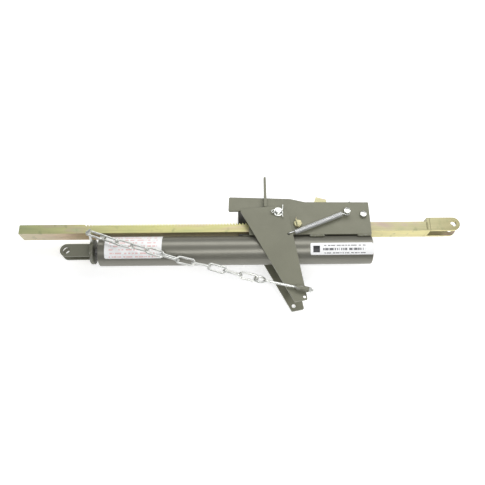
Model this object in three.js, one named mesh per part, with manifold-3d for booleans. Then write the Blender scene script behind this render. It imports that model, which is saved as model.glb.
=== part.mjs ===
// Mechanical hold-down for a dock leveller: a toothed ratchet bar slides in a welded housing on a spring
// tube, a pawl locks it, and a lever with a return spring and a chain to the plunger lifts the pawl.
// Millimetres. The object lies on its side: +X along the bar, +Y towards the teeth, +Z up.
// Design frame: the spring tube's axis is the X axis. The last lines move it onto the row frame.
import * as THREE from 'three';
import { mergeVertices } from 'three/addons/utils/BufferGeometryUtils.js';
import Module from 'manifold-3d';

const wasm = await Module();
wasm.setup();

// ---- driving dimensions ----
const gap = 0.3; // between meshes that touch
const run = 0.25; // radial clearance of a turning fit

const tubeRadius = 33.35;
const tubeWall = 4.8;
const tubeStart = -323.5;
const tubeEnd = 295.5;
const guideStart = tubeStart + 3;
const guideLength = 12;
const capLength = 7;
const ventRadius = 5;

const barHeight = 22.2;
const barDepth = 38.1;
const barBottom = tubeRadius + 4.85;
const barStart = -511;
const barEnd = 427;
const barTop = barBottom + barHeight;

const toothPitch = 7;
const toothDepth = 4.6;
const toothLean = 1.6;
const toothLand = 1.44; // flat tip between two tooth gaps
const teethStart = -362;
const teethCount = 93;

const forkReach = 76;
const forkHeight = 32;
const forkEarThickness = 6;
const forkBaseThickness = 6.5;
const forkHoleRadius = 6.5;

const plateInner = 21.5;
const plateThickness = 6.35;
const plateOuter = plateInner + plateThickness;
const plateBottom = 27.2;
const plateEnd = 295.5;
const noseStart = -30;
const noseBottom = 87.5;
const noseTop = 123;
const farPlateStart = -8;
const nearPlateStart = 17;

const leverInner = 36;
const leverThickness = 5;
const leverOuter = leverInner + leverThickness;
const leverPivot = { x: 84, y: 77 };
const springHole = { x: 105.5, y: 23, radius: 2.6 };
const leverSpacer = { x: 114, y: -82, radius: 7, hole: 3 };
const pivotPinRadius = 6.35;
const pivotPinHeadRadius = 10;
const washerRadius = 11;
const cotterRadius = 1.6;
const cotterLegRadius = 1.3;

const anchor = { x: 241, y: 78.3 };
const rear = { x: 279.5, y: 74.5 };
const boltRadius = 4.76;
const hexAcrossFlats = 14.3;
const hexHeight = 6;
const springLoopRoom = 11.4; // between the near plate and the anchor bolt's head
const gibScrew = { x: 128.5, y: 52.5, radius: 5.5, acrossFlats: 17, headHeight: 6.5 };

const pawlHalfDepth = 12;
const engagedAngle = 3.5; // degrees that the lever and pawl turn from rest to full mesh
const linkArm = { x: -28, y: 24 }; // pivot to link pin, alike on the lift arm and the pawl
const linkPinRadius = 4;
const linkThickness = 5;
const liftPin = { x: leverPivot.x + linkArm.x, y: leverPivot.y + linkArm.y };
const pawlPin = { x: anchor.x + linkArm.x, y: anchor.y + linkArm.y };
const pawlTeeth = 5;
const pawlNoseTooth = 73; // the bar's tooth gap that the pawl's first tooth drops into
const pawlClearance = 0.45;
const pawlTipRoom = 0.9; // the pawl's teeth are this much shallower than the bar's gaps
const pawlHubRadius = 13.6;
const pawlSpring = { outer: 13.5, inner: 9.2, length: 6, wire: 1.2 };
const pawlBushRadius = 8;
const liftArmRadius = 9.5;
const liftHubRadius = 12;
const pushLinkRadius = 8;
const pinOverhang = 1.5;

const flangeRadius = 28.5;
const flangeStart = -343;
const flangeThickness = 8;
const rodRadius = 9.5;
const rodEnd = 226;
const rodNeck = rodRadius - 2.5; // at the piston's thread
const pistonStart = 188;
const pistonThickness = 14;
const pistonNutRadius = 16;
const pistonNutLength = 16;
const clevisStart = -413;
const clevisEarThickness = 6.35;
const clevisGap = 14.3;
const clevisHeight = 30;
const clevisHoleRadius = 8.4;
const clevisHoleX = -398.9;

const chainLinks = 11;
const chainHeight = 47.3;
const linkWire = 2.25;
const linkInnerWidth = 9.2;
const linkPlay = 0.5;
const chainSag = 0.5; // degrees that each link's heading turns from the one before
const chainSway = 2; // degrees that the links lie off the smooth line, by turns
const chainTwist = 63; // degrees that the chain twists about its length, from the finger to the eye
const fingerStart = flangeStart + 1;
const fingerAngle = Math.PI / 3;
const fingerThickness = 5.5;
const fingerWidth = 6;
const fingerNeck = 57.6;
const fingerTip = 61;

const eyeCentre = { x: 38.5, y: -86 };
const eyeInnerRadius = 8.2;
const eyeWire = 2.8;
const eyeRoll = -40; // degrees that the eye is turned about its shank
const barrelCentre = { x: 129.3, y: -106.8 };
const barrelLength = 28;
const barrelRadius = 6;
const eyeNutRadius = 6.2;

const returnCoilRadius = 6.2;
const returnCoilHeight = plateOuter + 6.9;
const hookWire = 1.2;

const labelThickness = 0.35;
// Where the labels lie along the tube, and from which angle to which about it (0 is +Y, 90 is +Z).
const longLabel = { start: -307.5, end: -179.3, from: 12, to: 139 };
const rearLabel = { start: 154, end: 295, from: 84, to: 131 };

// ---- materials ----
function finish(color, roughness, metalness) {
  return new THREE.MeshStandardMaterial({ color, roughness, metalness });
}
const greyPaint = finish(0x8b8b7e, 0.55, 0.2);
const tubePaint = finish(0x6c6e69, 0.4, 0.5);
const yellowZinc = finish(0xc9c06e, 0.35, 0.85);
const brightZinc = finish(0xd8dcda, 0.25, 0.95);
const springSteel = finish(0x9aa0a2, 0.3, 0.9);
const plainSteel = finish(0x6f6f6c, 0.45, 0.8);
const labelVinyl = finish(0xf4f4f2, 0.6, 0.0);

// ---- solids ----
function signedVolume(position, index) {
  const corner = [new THREE.Vector3(), new THREE.Vector3(), new THREE.Vector3()];
  let total = 0;
  for (let i = 0; i < index.count; i += 3) {
    corner.forEach((v, k) => v.fromBufferAttribute(position, index.getX(i + k)));
    total += corner[0].dot(corner[1].clone().cross(corner[2]));
  }
  return total / 6;
}

function solid(geometry) {
  const bare = geometry.clone();
  bare.deleteAttribute('normal');
  bare.deleteAttribute('uv');
  const merged = mergeVertices(bare, 1e-4);
  const faces = Array.from(merged.index.array);
  if (signedVolume(merged.attributes.position, merged.index) < 0) faces.reverse();
  const kept = [];
  for (let i = 0; i < faces.length; i += 3) {
    const [a, b, c] = faces.slice(i, i + 3);
    if (a !== b && b !== c && a !== c) kept.push(a, b, c);
  }
  const mesh = new wasm.Mesh({
    numProp: 3,
    vertProperties: new Float32Array(merged.attributes.position.array),
    triVerts: new Uint32Array(kept),
  });
  return new wasm.Manifold(mesh);
}

function toGeometry(manifold) {
  const mesh = manifold.getMesh();
  const geometry = new THREE.BufferGeometry();
  geometry.setAttribute('position', new THREE.BufferAttribute(new Float32Array(mesh.vertProperties), 3));
  geometry.setIndex(new THREE.BufferAttribute(new Uint32Array(mesh.triVerts), 1));
  geometry.computeVertexNormals();
  return geometry;
}

function join(...pieces) {
  return pieces.reduce((whole, piece) => whole.add(piece));
}

function cut(whole, ...tools) {
  return tools.reduce((left, tool) => left.subtract(tool), whole);
}

function box(x0, x1, y0, y1, z0, z1) {
  const geometry = new THREE.BoxGeometry(x1 - x0, y1 - y0, z1 - z0);
  return solid(geometry.translate((x0 + x1) / 2, (y0 + y1) / 2, (z0 + z1) / 2));
}

function rodAlongZ(x, y, radius, z0, z1, sides = 24) {
  const geometry = new THREE.CylinderGeometry(radius, radius, z1 - z0, sides);
  return solid(geometry.rotateX(Math.PI / 2).translate(x, y, (z0 + z1) / 2));
}

function rodAlongX(radius, x0, x1, sides = 32, y = 0, z = 0) {
  const geometry = new THREE.CylinderGeometry(radius, radius, x1 - x0, sides);
  return solid(geometry.rotateZ(Math.PI / 2).translate((x0 + x1) / 2, y, z));
}

function ringAlongX(outer, inner, x0, x1, sides = 40) {
  return cut(rodAlongX(outer, x0, x1, sides), rodAlongX(inner, x0 - 1, x1 + 1, sides));
}

function hexAlongZ(x, y, acrossFlats, z0, z1, turn = 0) {
  const corner = acrossFlats / Math.sqrt(3);
  const geometry = new THREE.CylinderGeometry(corner, corner, z1 - z0, 6);
  return solid(geometry.rotateX(Math.PI / 2).rotateZ(turn).translate(x, y, (z0 + z1) / 2));
}

// Corners are [x, y, radius]; a rounded corner becomes one arc.
function roundedShape(corners, holes = []) {
  const shape = new THREE.Shape();
  const count = corners.length;
  corners.forEach(([x, y, radius = 0], i) => {
    const here = new THREE.Vector2(x, y);
    const before = new THREE.Vector2(...corners[(i + count - 1) % count]).sub(here).normalize();
    const after = new THREE.Vector2(...corners[(i + 1) % count]).sub(here).normalize();
    const half = Math.acos(THREE.MathUtils.clamp(before.dot(after), -1, 1)) / 2;
    const start = here.clone().addScaledVector(before, radius / Math.tan(half));
    if (i === 0) shape.moveTo(start.x, start.y);
    else shape.lineTo(start.x, start.y);
    if (radius === 0) return;
    const bisector = before.clone().add(after).normalize();
    const centre = here.clone().addScaledVector(bisector, radius / Math.sin(half));
    const end = here.clone().addScaledVector(after, radius / Math.tan(half));
    const from = start.clone().sub(centre).angle();
    const to = end.clone().sub(centre).angle();
    const clockwise = before.cross(after) > 0;
    shape.absarc(centre.x, centre.y, radius, from, to, clockwise);
  });
  shape.closePath();
  holes.forEach(([x, y, radius]) => {
    const hole = new THREE.Path();
    hole.absarc(x, y, radius, 0, Math.PI * 2, true);
    shape.holes.push(hole);
  });
  return shape;
}

function plateAlongZ(shape, z0, z1, curveSegments = 6) {
  const geometry = new THREE.ExtrudeGeometry(shape, { depth: z1 - z0, bevelEnabled: false, curveSegments });
  return solid(geometry.translate(0, 0, z0));
}

// A round wire bent along a smooth path through the points.
function wire(points, radius, steps = 16, sides = 8) {
  const path = new THREE.CatmullRomCurve3(points.map((p) => new THREE.Vector3(...p)), false, 'centripetal');
  const section = new THREE.Shape();
  for (let i = 0; i < sides; i += 1) {
    const angle = (i / sides) * Math.PI * 2;
    const method = i === 0 ? 'moveTo' : 'lineTo';
    section[method](radius * Math.cos(angle), radius * Math.sin(angle));
  }
  section.closePath();
  return solid(new THREE.ExtrudeGeometry(section, { steps, extrudePath: path, bevelEnabled: false }));
}

// A straight-sided chain link: a ring pulled apart by its straight length. It lies in the XY plane.
function chainLinkGeometry(innerLength, innerWidth, wireRadius) {
  const bend = (innerWidth + wireRadius * 2) / 2;
  const straight = innerLength + wireRadius * 2 - bend * 2;
  const segments = 12;
  const ring = new THREE.TorusGeometry(bend, wireRadius, 8, segments);
  ring.rotateZ(Math.PI / segments);
  const position = ring.attributes.position;
  for (let i = 0; i < position.count; i += 1) {
    position.setX(i, position.getX(i) + (Math.sign(position.getX(i)) * straight) / 2);
  }
  return ring;
}

// ---- the assembly ----
const holdDown = new THREE.Group();

function addPiece(name, manifold, material, parent = holdDown) {
  const mesh = new THREE.Mesh(toGeometry(manifold), material);
  mesh.name = name;
  parent.add(mesh);
  return mesh;
}

function addSpringTube() {
  addPiece('spring_tube', ringAlongX(tubeRadius, tubeRadius - tubeWall, tubeStart, tubeEnd, 48), tubePaint);
  const bore = tubeRadius - tubeWall - gap;
  const guideEnd = guideStart + guideLength;
  addPiece('rod_guide', ringAlongX(bore, rodRadius + gap, guideStart, guideEnd), plainSteel);
  const capEnd = tubeEnd - 2;
  addPiece('tube_end_cap', ringAlongX(bore, ventRadius, capEnd - capLength, capEnd), plainSteel);
}

function addHousing() {
  const bottom = plateBottom;
  const nearOutline = [
    [nearPlateStart, bottom, 2],
    [plateEnd, bottom, 1.5],
    [plateEnd - 0.8, 107, 2],
    [148, 108.6, 8],
    [113.6, 117.3, 8],
    [noseStart + 1.5, noseTop, 3],
    [noseStart, noseBottom, 3],
    [nearPlateStart, noseBottom, 6],
  ];
  const farOutline = [
    [farPlateStart, bottom, 2],
    [plateEnd, bottom, 1.5],
    [plateEnd - 0.8, 107, 2],
    [148, 108.6, 8],
    [113.6, 117.3, 8],
    [farPlateStart, noseTop - 1, 3],
  ];
  const holes = [
    [leverPivot.x, leverPivot.y, pivotPinRadius + run],
    [anchor.x, anchor.y, boltRadius + gap],
    [rear.x, rear.y, boltRadius + gap],
  ];
  const gibHole = [gibScrew.x, gibScrew.y, gibScrew.radius + gap];
  const near = plateAlongZ(roundedShape(nearOutline, [...holes, gibHole]), plateInner, plateOuter);
  const far = plateAlongZ(roundedShape(farOutline, holes), -plateOuter, -plateInner);
  addPiece('side_plate_near', near, greyPaint);
  addPiece('side_plate_far', far, greyPaint);
  const stripTop = barBottom - gap;
  const stripBottom = tubeRadius + gap;
  addPiece('bar_wear_strip', box(farPlateStart + 2, plateEnd - 4, stripBottom, stripTop, -9, 9), plainSteel);
}

function addGibScrew() {
  const { x, y, radius, acrossFlats, headHeight } = gibScrew;
  const headStart = plateOuter + gap;
  const shank = rodAlongZ(x, y, radius, barDepth / 2 + gap, headStart + 0.5);
  const head = hexAlongZ(x, y, acrossFlats, headStart, headStart + headHeight, 0.35);
  addPiece('side_gib_screw', join(head, shank), yellowZinc);
}

// A hex bolt from the near side with its nut on the far side.
function addBoltAndNut(name, place, headStart, turn) {
  const { x, y } = place;
  const nutTop = -plateOuter - gap;
  const nutBottom = nutTop - hexHeight;
  const head = hexAlongZ(x, y, hexAcrossFlats, headStart, headStart + hexHeight, turn);
  const shank = rodAlongZ(x, y, boltRadius, nutBottom - 1.5, headStart + 0.5);
  addPiece(`${name}_bolt`, join(head, shank), brightZinc);
  const nut = hexAlongZ(x, y, hexAcrossFlats, nutBottom, nutTop, turn + 0.3);
  addPiece(`${name}_nut`, cut(nut, rodAlongZ(x, y, boltRadius + gap, nutBottom - 1, nutTop + 1)), brightZinc);
}

function addSleeve(name, place, outer, inner, z0, z1, material) {
  const sleeve = rodAlongZ(place.x, place.y, outer, z0, z1);
  addPiece(name, cut(sleeve, rodAlongZ(place.x, place.y, inner, z0 - 1, z1 + 1)), material);
}

// The pawl's torsion spring: coil round the pawl bush, one leg hooked over the near plate's top edge,
// the other leg over the pawl's peg.
function addPawlSpring() {
  const low = pawlHalfDepth + gap;
  const high = low + pawlSpring.length;
  const coil = cut(
    rodAlongZ(anchor.x, anchor.y, pawlSpring.outer, low, high, 20),
    rodAlongZ(anchor.x, anchor.y, pawlSpring.inner, low - 1, high + 1, 20),
  );
  const legRadius = pawlSpring.wire;
  const legX = anchor.x + 10;
  const topEdge = 107.6;
  const hook = wire([
    [legX, anchor.y + 4, high - 1.5],
    [legX, topEdge - 12, high - 1.5],
    [legX, topEdge + legRadius + 0.2, plateInner - 0.4],
    [legX, topEdge + legRadius + 0.6, plateInner + 3],
    [legX, topEdge + legRadius + 0.2, plateOuter + 0.6],
    [legX, topEdge - 1.5, plateOuter + legRadius + 0.7],
  ], legRadius);
  const pressLeg = wire([
    [anchor.x - 4, anchor.y + 11.3, low + 1.5],
    [anchor.x - 25, anchor.y + 14, low + 1.5],
    [anchor.x - 46, anchor.y + 18, low + 1.5],
  ], legRadius, 6);
  addPiece('pawl_spring', join(coil, hook, pressLeg), springSteel);
}

// Thin labels bent round the tube.
function addLabel(name, { start, end, from, to }) {
  const inner = tubeRadius + gap;
  const outer = inner + labelThickness;
  const shape = new THREE.Shape();
  const low = THREE.MathUtils.degToRad(from);
  const high = THREE.MathUtils.degToRad(to);
  shape.absarc(0, 0, outer, low, high, false);
  shape.absarc(0, 0, inner, high, low, true);
  shape.closePath();
  const depth = end - start;
  const geometry = new THREE.ExtrudeGeometry(shape, { depth, bevelEnabled: false, curveSegments: 12 });
  // the section's X and Y become the row's Y and Z, and its depth becomes X
  geometry.applyMatrix4(new THREE.Matrix4().makeBasis(
    new THREE.Vector3(0, 1, 0),
    new THREE.Vector3(0, 0, 1),
    new THREE.Vector3(1, 0, 0),
  ));
  addPiece(name, solid(geometry.translate(start, 0, 0)), labelVinyl);
}

// ---- ratchet bar ----
// The bar's side view: plain ends, and saw teeth whose steep side faces +X.
function barOutline() {
  const shape = new THREE.Shape();
  shape.moveTo(barStart, barBottom);
  shape.lineTo(barEnd, barBottom);
  shape.lineTo(barEnd, barTop);
  for (let i = teethCount - 1; i >= 0; i -= 1) {
    const root = teethStart + (i + 1) * toothPitch;
    shape.lineTo(root, barTop);
    shape.lineTo(root - toothLean, barTop - toothDepth);
    shape.lineTo(root - toothPitch + toothLand, barTop);
  }
  shape.lineTo(barStart, barTop);
  shape.closePath();
  return shape;
}

function addRatchetBar() {
  const half = barDepth / 2;
  addPiece('ratchet_bar', plateAlongZ(barOutline(), -half, half), yellowZinc);
  const baseStart = barEnd + gap;
  const baseEnd = baseStart + forkBaseThickness;
  addPiece('fork_base', box(baseStart, baseEnd, barBottom, barBottom + forkHeight, -half, half), yellowZinc);
  const earStart = baseEnd + gap;
  const tip = barEnd + forkReach;
  const middle = barBottom + forkHeight / 2;
  const ear = roundedShape([
    [earStart, barBottom],
    [tip, barBottom, forkHeight / 2 - 0.01],
    [tip, barBottom + forkHeight, forkHeight / 2 - 0.01],
    [earStart, barBottom + forkHeight],
  ], [[tip - forkHeight / 2 + 1, middle, forkHoleRadius]]);
  addPiece('fork_ear_near', plateAlongZ(ear, half - forkEarThickness, half, 8), yellowZinc);
  addPiece('fork_ear_far', plateAlongZ(ear, -half, -half + forkEarThickness, 8), yellowZinc);
}

// ---- plunger ----
function addPlunger() {
  const flangeEnd = flangeStart + flangeThickness;
  const flange = rodAlongX(flangeRadius, flangeStart, flangeEnd, 40);
  const spigotRadius = rodRadius - 2;
  const flangeBore = rodAlongX(spigotRadius + gap, flangeStart - 1, flangeEnd + 1);
  addPiece('plunger_flange', cut(flange, flangeBore), greyPaint);

  const spigot = rodAlongX(spigotRadius, flangeStart + 1, flangeEnd + gap + 1);
  const shank = rodAlongX(rodRadius, flangeEnd + gap, pistonStart);
  const threaded = rodAlongX(rodNeck, pistonStart - 1, rodEnd);
  addPiece('plunger_rod', join(spigot, shank, threaded), plainSteel);

  const bore = tubeRadius - tubeWall - gap * 2;
  const pistonEnd = pistonStart + pistonThickness;
  const threadHole = rodNeck + gap;
  addPiece('piston', ringAlongX(bore, threadHole, pistonStart + gap, pistonEnd), plainSteel);
  const nutEnd = pistonEnd + pistonNutLength;
  const nut = rodAlongX(pistonNutRadius, pistonEnd + gap, nutEnd, 6);
  const nutBore = rodAlongX(threadHole, pistonEnd - 1, nutEnd + 1);
  addPiece('piston_nut', cut(nut, nutBore), brightZinc);

  const springStart = guideStart + guideLength + gap;
  const springCoil = ringAlongX(bore - 0.5, rodRadius + 6, springStart, pistonStart - gap, 24);
  addPiece('main_spring', springCoil, springSteel);

  const half = clevisHeight / 2;
  const ear = roundedShape([
    [clevisStart, -half, half - 0.01],
    [flangeStart - gap, -half],
    [flangeStart - gap, half],
    [clevisStart, half, half - 0.01],
  ], [[clevisHoleX, 0, clevisHoleRadius]]);
  const inner = clevisGap / 2;
  const outer = inner + clevisEarThickness;
  addPiece('rod_clevis_ear_near', plateAlongZ(ear, inner, outer, 8), greyPaint);
  addPiece('rod_clevis_ear_far', plateAlongZ(ear, -outer, -inner, 8), greyPaint);
}

// The finger on the flange's rim that holds the chain's first link. It stands out radially.
function addChainFinger() {
  const root = flangeRadius + gap;
  const end = fingerStart + fingerThickness;
  const stem = box(fingerStart, end, root, fingerNeck + 0.5, -fingerWidth / 2, fingerWidth / 2);
  const head = box(fingerStart, end, fingerNeck, fingerTip, -7, 7);
  const turned = join(stem, head).rotate([THREE.MathUtils.radToDeg(fingerAngle), 0, 0]);
  addPiece('chain_finger', turned, brightZinc);
}

// ---- lever ----
function addLever() {
  const outline = [
    [-3.5, 83, 5],
    [112.5, -135, 3],
    [140.3, -129.7, 3],
    [118, 8, 60],
    [107, 66, 30],
    [98, 91.5, 12],
    [62, 91.5, 8],
    [3, 85.8, 5],
  ];
  const pivotHole = [leverPivot.x, leverPivot.y, pivotPinRadius + gap];
  const nearHoles = [pivotHole, [springHole.x, springHole.y, springHole.radius], [134, -123.5, 3.2]];
  const farHoles = [pivotHole, [117, -122, 4.8]];
  const near = plateAlongZ(roundedShape(outline, nearHoles), leverInner, leverOuter);
  const far = plateAlongZ(roundedShape(outline, farHoles), -leverOuter, -leverInner);
  addPiece('lever_plate_near', near, greyPaint);
  addPiece('lever_plate_far', far, greyPaint);
  const { radius, hole } = leverSpacer;
  addSleeve('lever_spacer', leverSpacer, radius, hole, -leverInner + gap, leverInner - gap, greyPaint);

  const trip = roundedShape([
    [52, 91.2],
    [58.6, 91.2],
    [58, 168, 1],
    [52.6, 168, 1],
  ]);
  addPiece('trip_arm', plateAlongZ(trip, plateOuter + 1.5, leverOuter + 1), greyPaint);
}

function addPivotPin() {
  const { x, y } = leverPivot;
  const headTop = -leverOuter - gap;
  const pinEnd = leverOuter + 8.5;
  const cotterZ = leverOuter + 5;
  const pin = join(
    rodAlongZ(x, y, pivotPinRadius, headTop - 1, pinEnd, 24),
    rodAlongZ(x, y, pivotPinHeadRadius, headTop - 3.5, headTop, 24),
  );
  const crossHole = rodAlongX(cotterRadius + gap, x - 9, x + 9, 12, y, cotterZ);
  addPiece('lever_pivot_pin', cut(pin, crossHole), brightZinc);
  const washerLow = leverOuter + gap;
  const washerHole = pivotPinRadius + gap;
  addSleeve('pivot_washer', leverPivot, washerRadius, washerHole, washerLow, washerLow + 2, brightZinc);

  const eye = solid(new THREE.TorusGeometry(3.4, cotterLegRadius, 8, 14).translate(x - 12.4, y, cotterZ));
  const shank = rodAlongX(cotterRadius, x - 9.6, x + 8.6, 10, y, cotterZ);
  const legs = wire([
    [x + 9.6, y - 14, cotterZ],
    [x + 8.8, y - 5, cotterZ],
    [x + 8.2, y, cotterZ],
    [x + 9.6, y + 6, cotterZ],
    [x + 10.8, y + 16.5, cotterZ],
  ], cotterLegRadius, 12);
  addPiece('cotter_pin', join(eye, shank, legs), brightZinc);
}

// Inside the housing: the arm on the pivot pin, and the link that carries its motion to the pawl.
const linkHigh = -pawlHalfDepth - gap;
const linkLow = linkHigh - linkThickness;

function strapShape(from, to, radius, holes) {
  const start = new THREE.Vector2(from.x, from.y);
  const end = new THREE.Vector2(to.x, to.y);
  const heading = end.clone().sub(start).angle();
  const shape = new THREE.Shape();
  shape.absarc(start.x, start.y, radius, heading + Math.PI / 2, heading + Math.PI * 1.5, false);
  shape.absarc(end.x, end.y, radius, heading - Math.PI / 2, heading + Math.PI / 2, false);
  shape.closePath();
  holes.forEach(([x, y, holeRadius]) => {
    const hole = new THREE.Path();
    hole.absarc(x, y, holeRadius, 0, Math.PI * 2, true);
    shape.holes.push(hole);
  });
  return shape;
}

function addLiftTrain() {
  const arm = strapShape(leverPivot, liftPin, liftArmRadius, [[liftPin.x, liftPin.y, linkPinRadius + gap]]);
  const armSolid = join(
    plateAlongZ(arm, -pawlHalfDepth, pawlHalfDepth, 8),
    rodAlongZ(leverPivot.x, leverPivot.y, liftHubRadius, -pawlHalfDepth, pawlHalfDepth + 5),
  );
  const pinHole = rodAlongZ(leverPivot.x, leverPivot.y, pivotPinRadius + gap, -30, 30);
  addPiece('lift_arm', cut(armSolid, pinHole), greyPaint);
  const pinLow = linkLow - pinOverhang;
  const linkPin = ({ x, y }) => rodAlongZ(x, y, linkPinRadius, pinLow, pawlHalfDepth + pinOverhang);
  addPiece('lift_pin', linkPin(liftPin), brightZinc);
  const linkHoles = [liftPin, pawlPin].map(({ x, y }) => [x, y, linkPinRadius + run]);
  const link = strapShape(liftPin, pawlPin, pushLinkRadius, linkHoles);
  addPiece('push_link', plateAlongZ(link, linkLow, linkHigh, 8), greyPaint);
  addPiece('pawl_link_pin', linkPin(pawlPin), brightZinc);
}

// The pawl is drawn in full mesh with the bar and then turned back to its rest angle about its pivot.
function addPawl() {
  const noseX = teethStart + pawlNoseTooth * toothPitch;
  const floor = barTop + pawlClearance;
  const shape = new THREE.Shape();
  shape.moveTo(noseX, floor);
  for (let i = 0; i < pawlTeeth; i += 1) {
    const root = noseX + (i + 1) * toothPitch;
    shape.lineTo(root - toothPitch + toothLand + pawlClearance, floor);
    shape.lineTo(root - toothLean - pawlClearance, floor - toothDepth + pawlTipRoom);
    shape.lineTo(root - pawlClearance, floor);
  }
  shape.lineTo(noseX + pawlTeeth * toothPitch + 4, floor);
  shape.lineTo(anchor.x + 2, anchor.y - pawlHubRadius + 0.1);
  shape.absarc(anchor.x, anchor.y, pawlHubRadius, -Math.PI / 2 + 0.15, Math.PI / 2 - 0.4, false);
  shape.lineTo(226, 101);
  shape.lineTo(214, 109.5);
  shape.lineTo(198.5, 111);
  shape.lineTo(197.3, 120.6);
  shape.lineTo(172.6, 125.6);
  shape.lineTo(169.1, 110.7);
  shape.lineTo(noseX, 80);
  shape.closePath();
  const body = plateAlongZ(shape, -pawlHalfDepth, pawlHalfDepth, 8);
  const turn = new THREE.Matrix4()
    .makeTranslation(anchor.x, anchor.y, 0)
    .multiply(new THREE.Matrix4().makeRotationZ(THREE.MathUtils.degToRad(-engagedAngle)))
    .multiply(new THREE.Matrix4().makeTranslation(-anchor.x, -anchor.y, 0));
  const atRest = body.transform(turn.elements);
  const drilled = cut(
    atRest,
    rodAlongZ(anchor.x, anchor.y, pawlBushRadius + gap, -20, 20),
    rodAlongZ(pawlPin.x, pawlPin.y, linkPinRadius + gap, -20, 20),
  );
  addPiece('pawl', drilled, yellowZinc);
  const bushStart = -pawlHalfDepth - 5;
  const bushEnd = pawlHalfDepth + 7;
  addSleeve('pawl_bush', anchor, pawlBushRadius, boltRadius + run, bushStart, bushEnd, plainSteel);
}

// ---- eye bolt, return spring and chain ----
function addEyeBolt() {
  const dx = barrelCentre.x - eyeCentre.x;
  const dy = barrelCentre.y - eyeCentre.y;
  const reach = Math.hypot(dx, dy);
  const heading = Math.atan2(dy, dx);
  const turnDegrees = THREE.MathUtils.radToDeg(heading);
  const { x, y } = eyeCentre;
  const place = (manifold) => manifold.rotate([0, 0, turnDegrees]).translate([x, y, chainHeight]);

  const eyeMiddle = eyeInnerRadius + eyeWire;
  const ring = new THREE.TorusGeometry(eyeMiddle, eyeWire, 10, 18);
  const eye = solid(ring.rotateX(THREE.MathUtils.degToRad(eyeRoll)));
  const shankEnd = reach + barrelLength / 2 + 10;
  const shank = rodAlongX(eyeWire, eyeMiddle, shankEnd, 12);
  addPiece('eye_bolt', place(join(eye, shank)), brightZinc);

  const barrelStart = reach - barrelLength / 2;
  const barrelEnd = reach + barrelLength / 2;
  const barrel = rodAlongX(barrelRadius, barrelStart, barrelEnd, 20);
  const bore = rodAlongX(eyeWire + gap, barrelStart - 1, barrelEnd + 1, 12);
  addPiece('eye_bolt_barrel', place(cut(barrel, bore)), greyPaint);
  const nut = rodAlongX(eyeNutRadius, barrelEnd + gap, barrelEnd + 6, 6);
  const nutBore = rodAlongX(eyeWire + gap, barrelEnd - 1, barrelEnd + 8, 12);
  addPiece('eye_bolt_nut', place(cut(nut, nutBore)), brightZinc);
}

// Closed extension spring as its outer cylinder, with a hook into the lever and a loop on the bolt.
function addReturnSpring() {
  const height = returnCoilHeight;
  const from = new THREE.Vector3(121.5, 29.8, height);
  const to = new THREE.Vector3(229.5, 73.7, height);
  const along = to.clone().sub(from);
  const coilGeometry = new THREE.CylinderGeometry(returnCoilRadius, returnCoilRadius, along.length(), 16);
  coilGeometry.applyQuaternion(new THREE.Quaternion().setFromUnitVectors(
    new THREE.Vector3(0, 1, 0),
    along.clone().normalize(),
  ));
  const centre = from.clone().add(to).multiplyScalar(0.5);
  const coil = solid(coilGeometry.translate(centre.x, centre.y, centre.z));
  const hook = wire([
    [from.x + 4, from.y + 1.6, height + 4.6],
    [from.x - 4, from.y - 1.6, height + 7.5],
    [springHole.x + 4, springHole.y + 1.6, leverOuter + 3],
    [springHole.x, springHole.y, leverOuter + 0.5],
    [springHole.x, springHole.y, leverInner + 0.5],
  ], hookWire, 14);
  const loopRadius = boltRadius + gap + hookWire + 0.4;
  const ring = new THREE.TorusGeometry(loopRadius, hookWire, 8, 16);
  const loop = solid(ring.translate(anchor.x, anchor.y, height));
  const neck = wire([
    [to.x - 3, to.y - 1.2, height],
    [anchor.x - loopRadius + 0.2, anchor.y - 1, height],
  ], hookWire, 2);
  addPiece('return_spring', join(coil, hook, loop, neck), springSteel);
}

// How the links lie: unit headings of a slack line, then each link's start and the links' common spacing.
function chainLay(firstWire, span) {
  const headings = [];
  const sum = new THREE.Vector2();
  for (let i = 0; i < chainLinks; i += 1) {
    const sway = i === 0 || i === chainLinks - 1 ? 0 : chainSway * (i % 4 < 2 ? -1 : 1);
    const heading = THREE.MathUtils.degToRad((i - (chainLinks - 1) / 2) * chainSag + sway);
    headings.push(heading);
    sum.add(new THREE.Vector2(Math.cos(heading), Math.sin(heading)));
  }
  // the last link runs on to its far wire, so it is longer than the spacing by the play and two half wires
  const tail = linkWire * 2 + linkPlay;
  const spacing = (span.length() - tail) / sum.length();
  const base = span.angle() - sum.angle();
  const starts = [firstWire.clone()];
  headings.forEach((heading) => {
    const step = new THREE.Vector2(Math.cos(base + heading), Math.sin(base + heading));
    starts.push(starts[starts.length - 1].clone().addScaledVector(step, spacing));
  });
  return { headings: headings.map((heading) => base + heading), starts, spacing };
}

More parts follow.
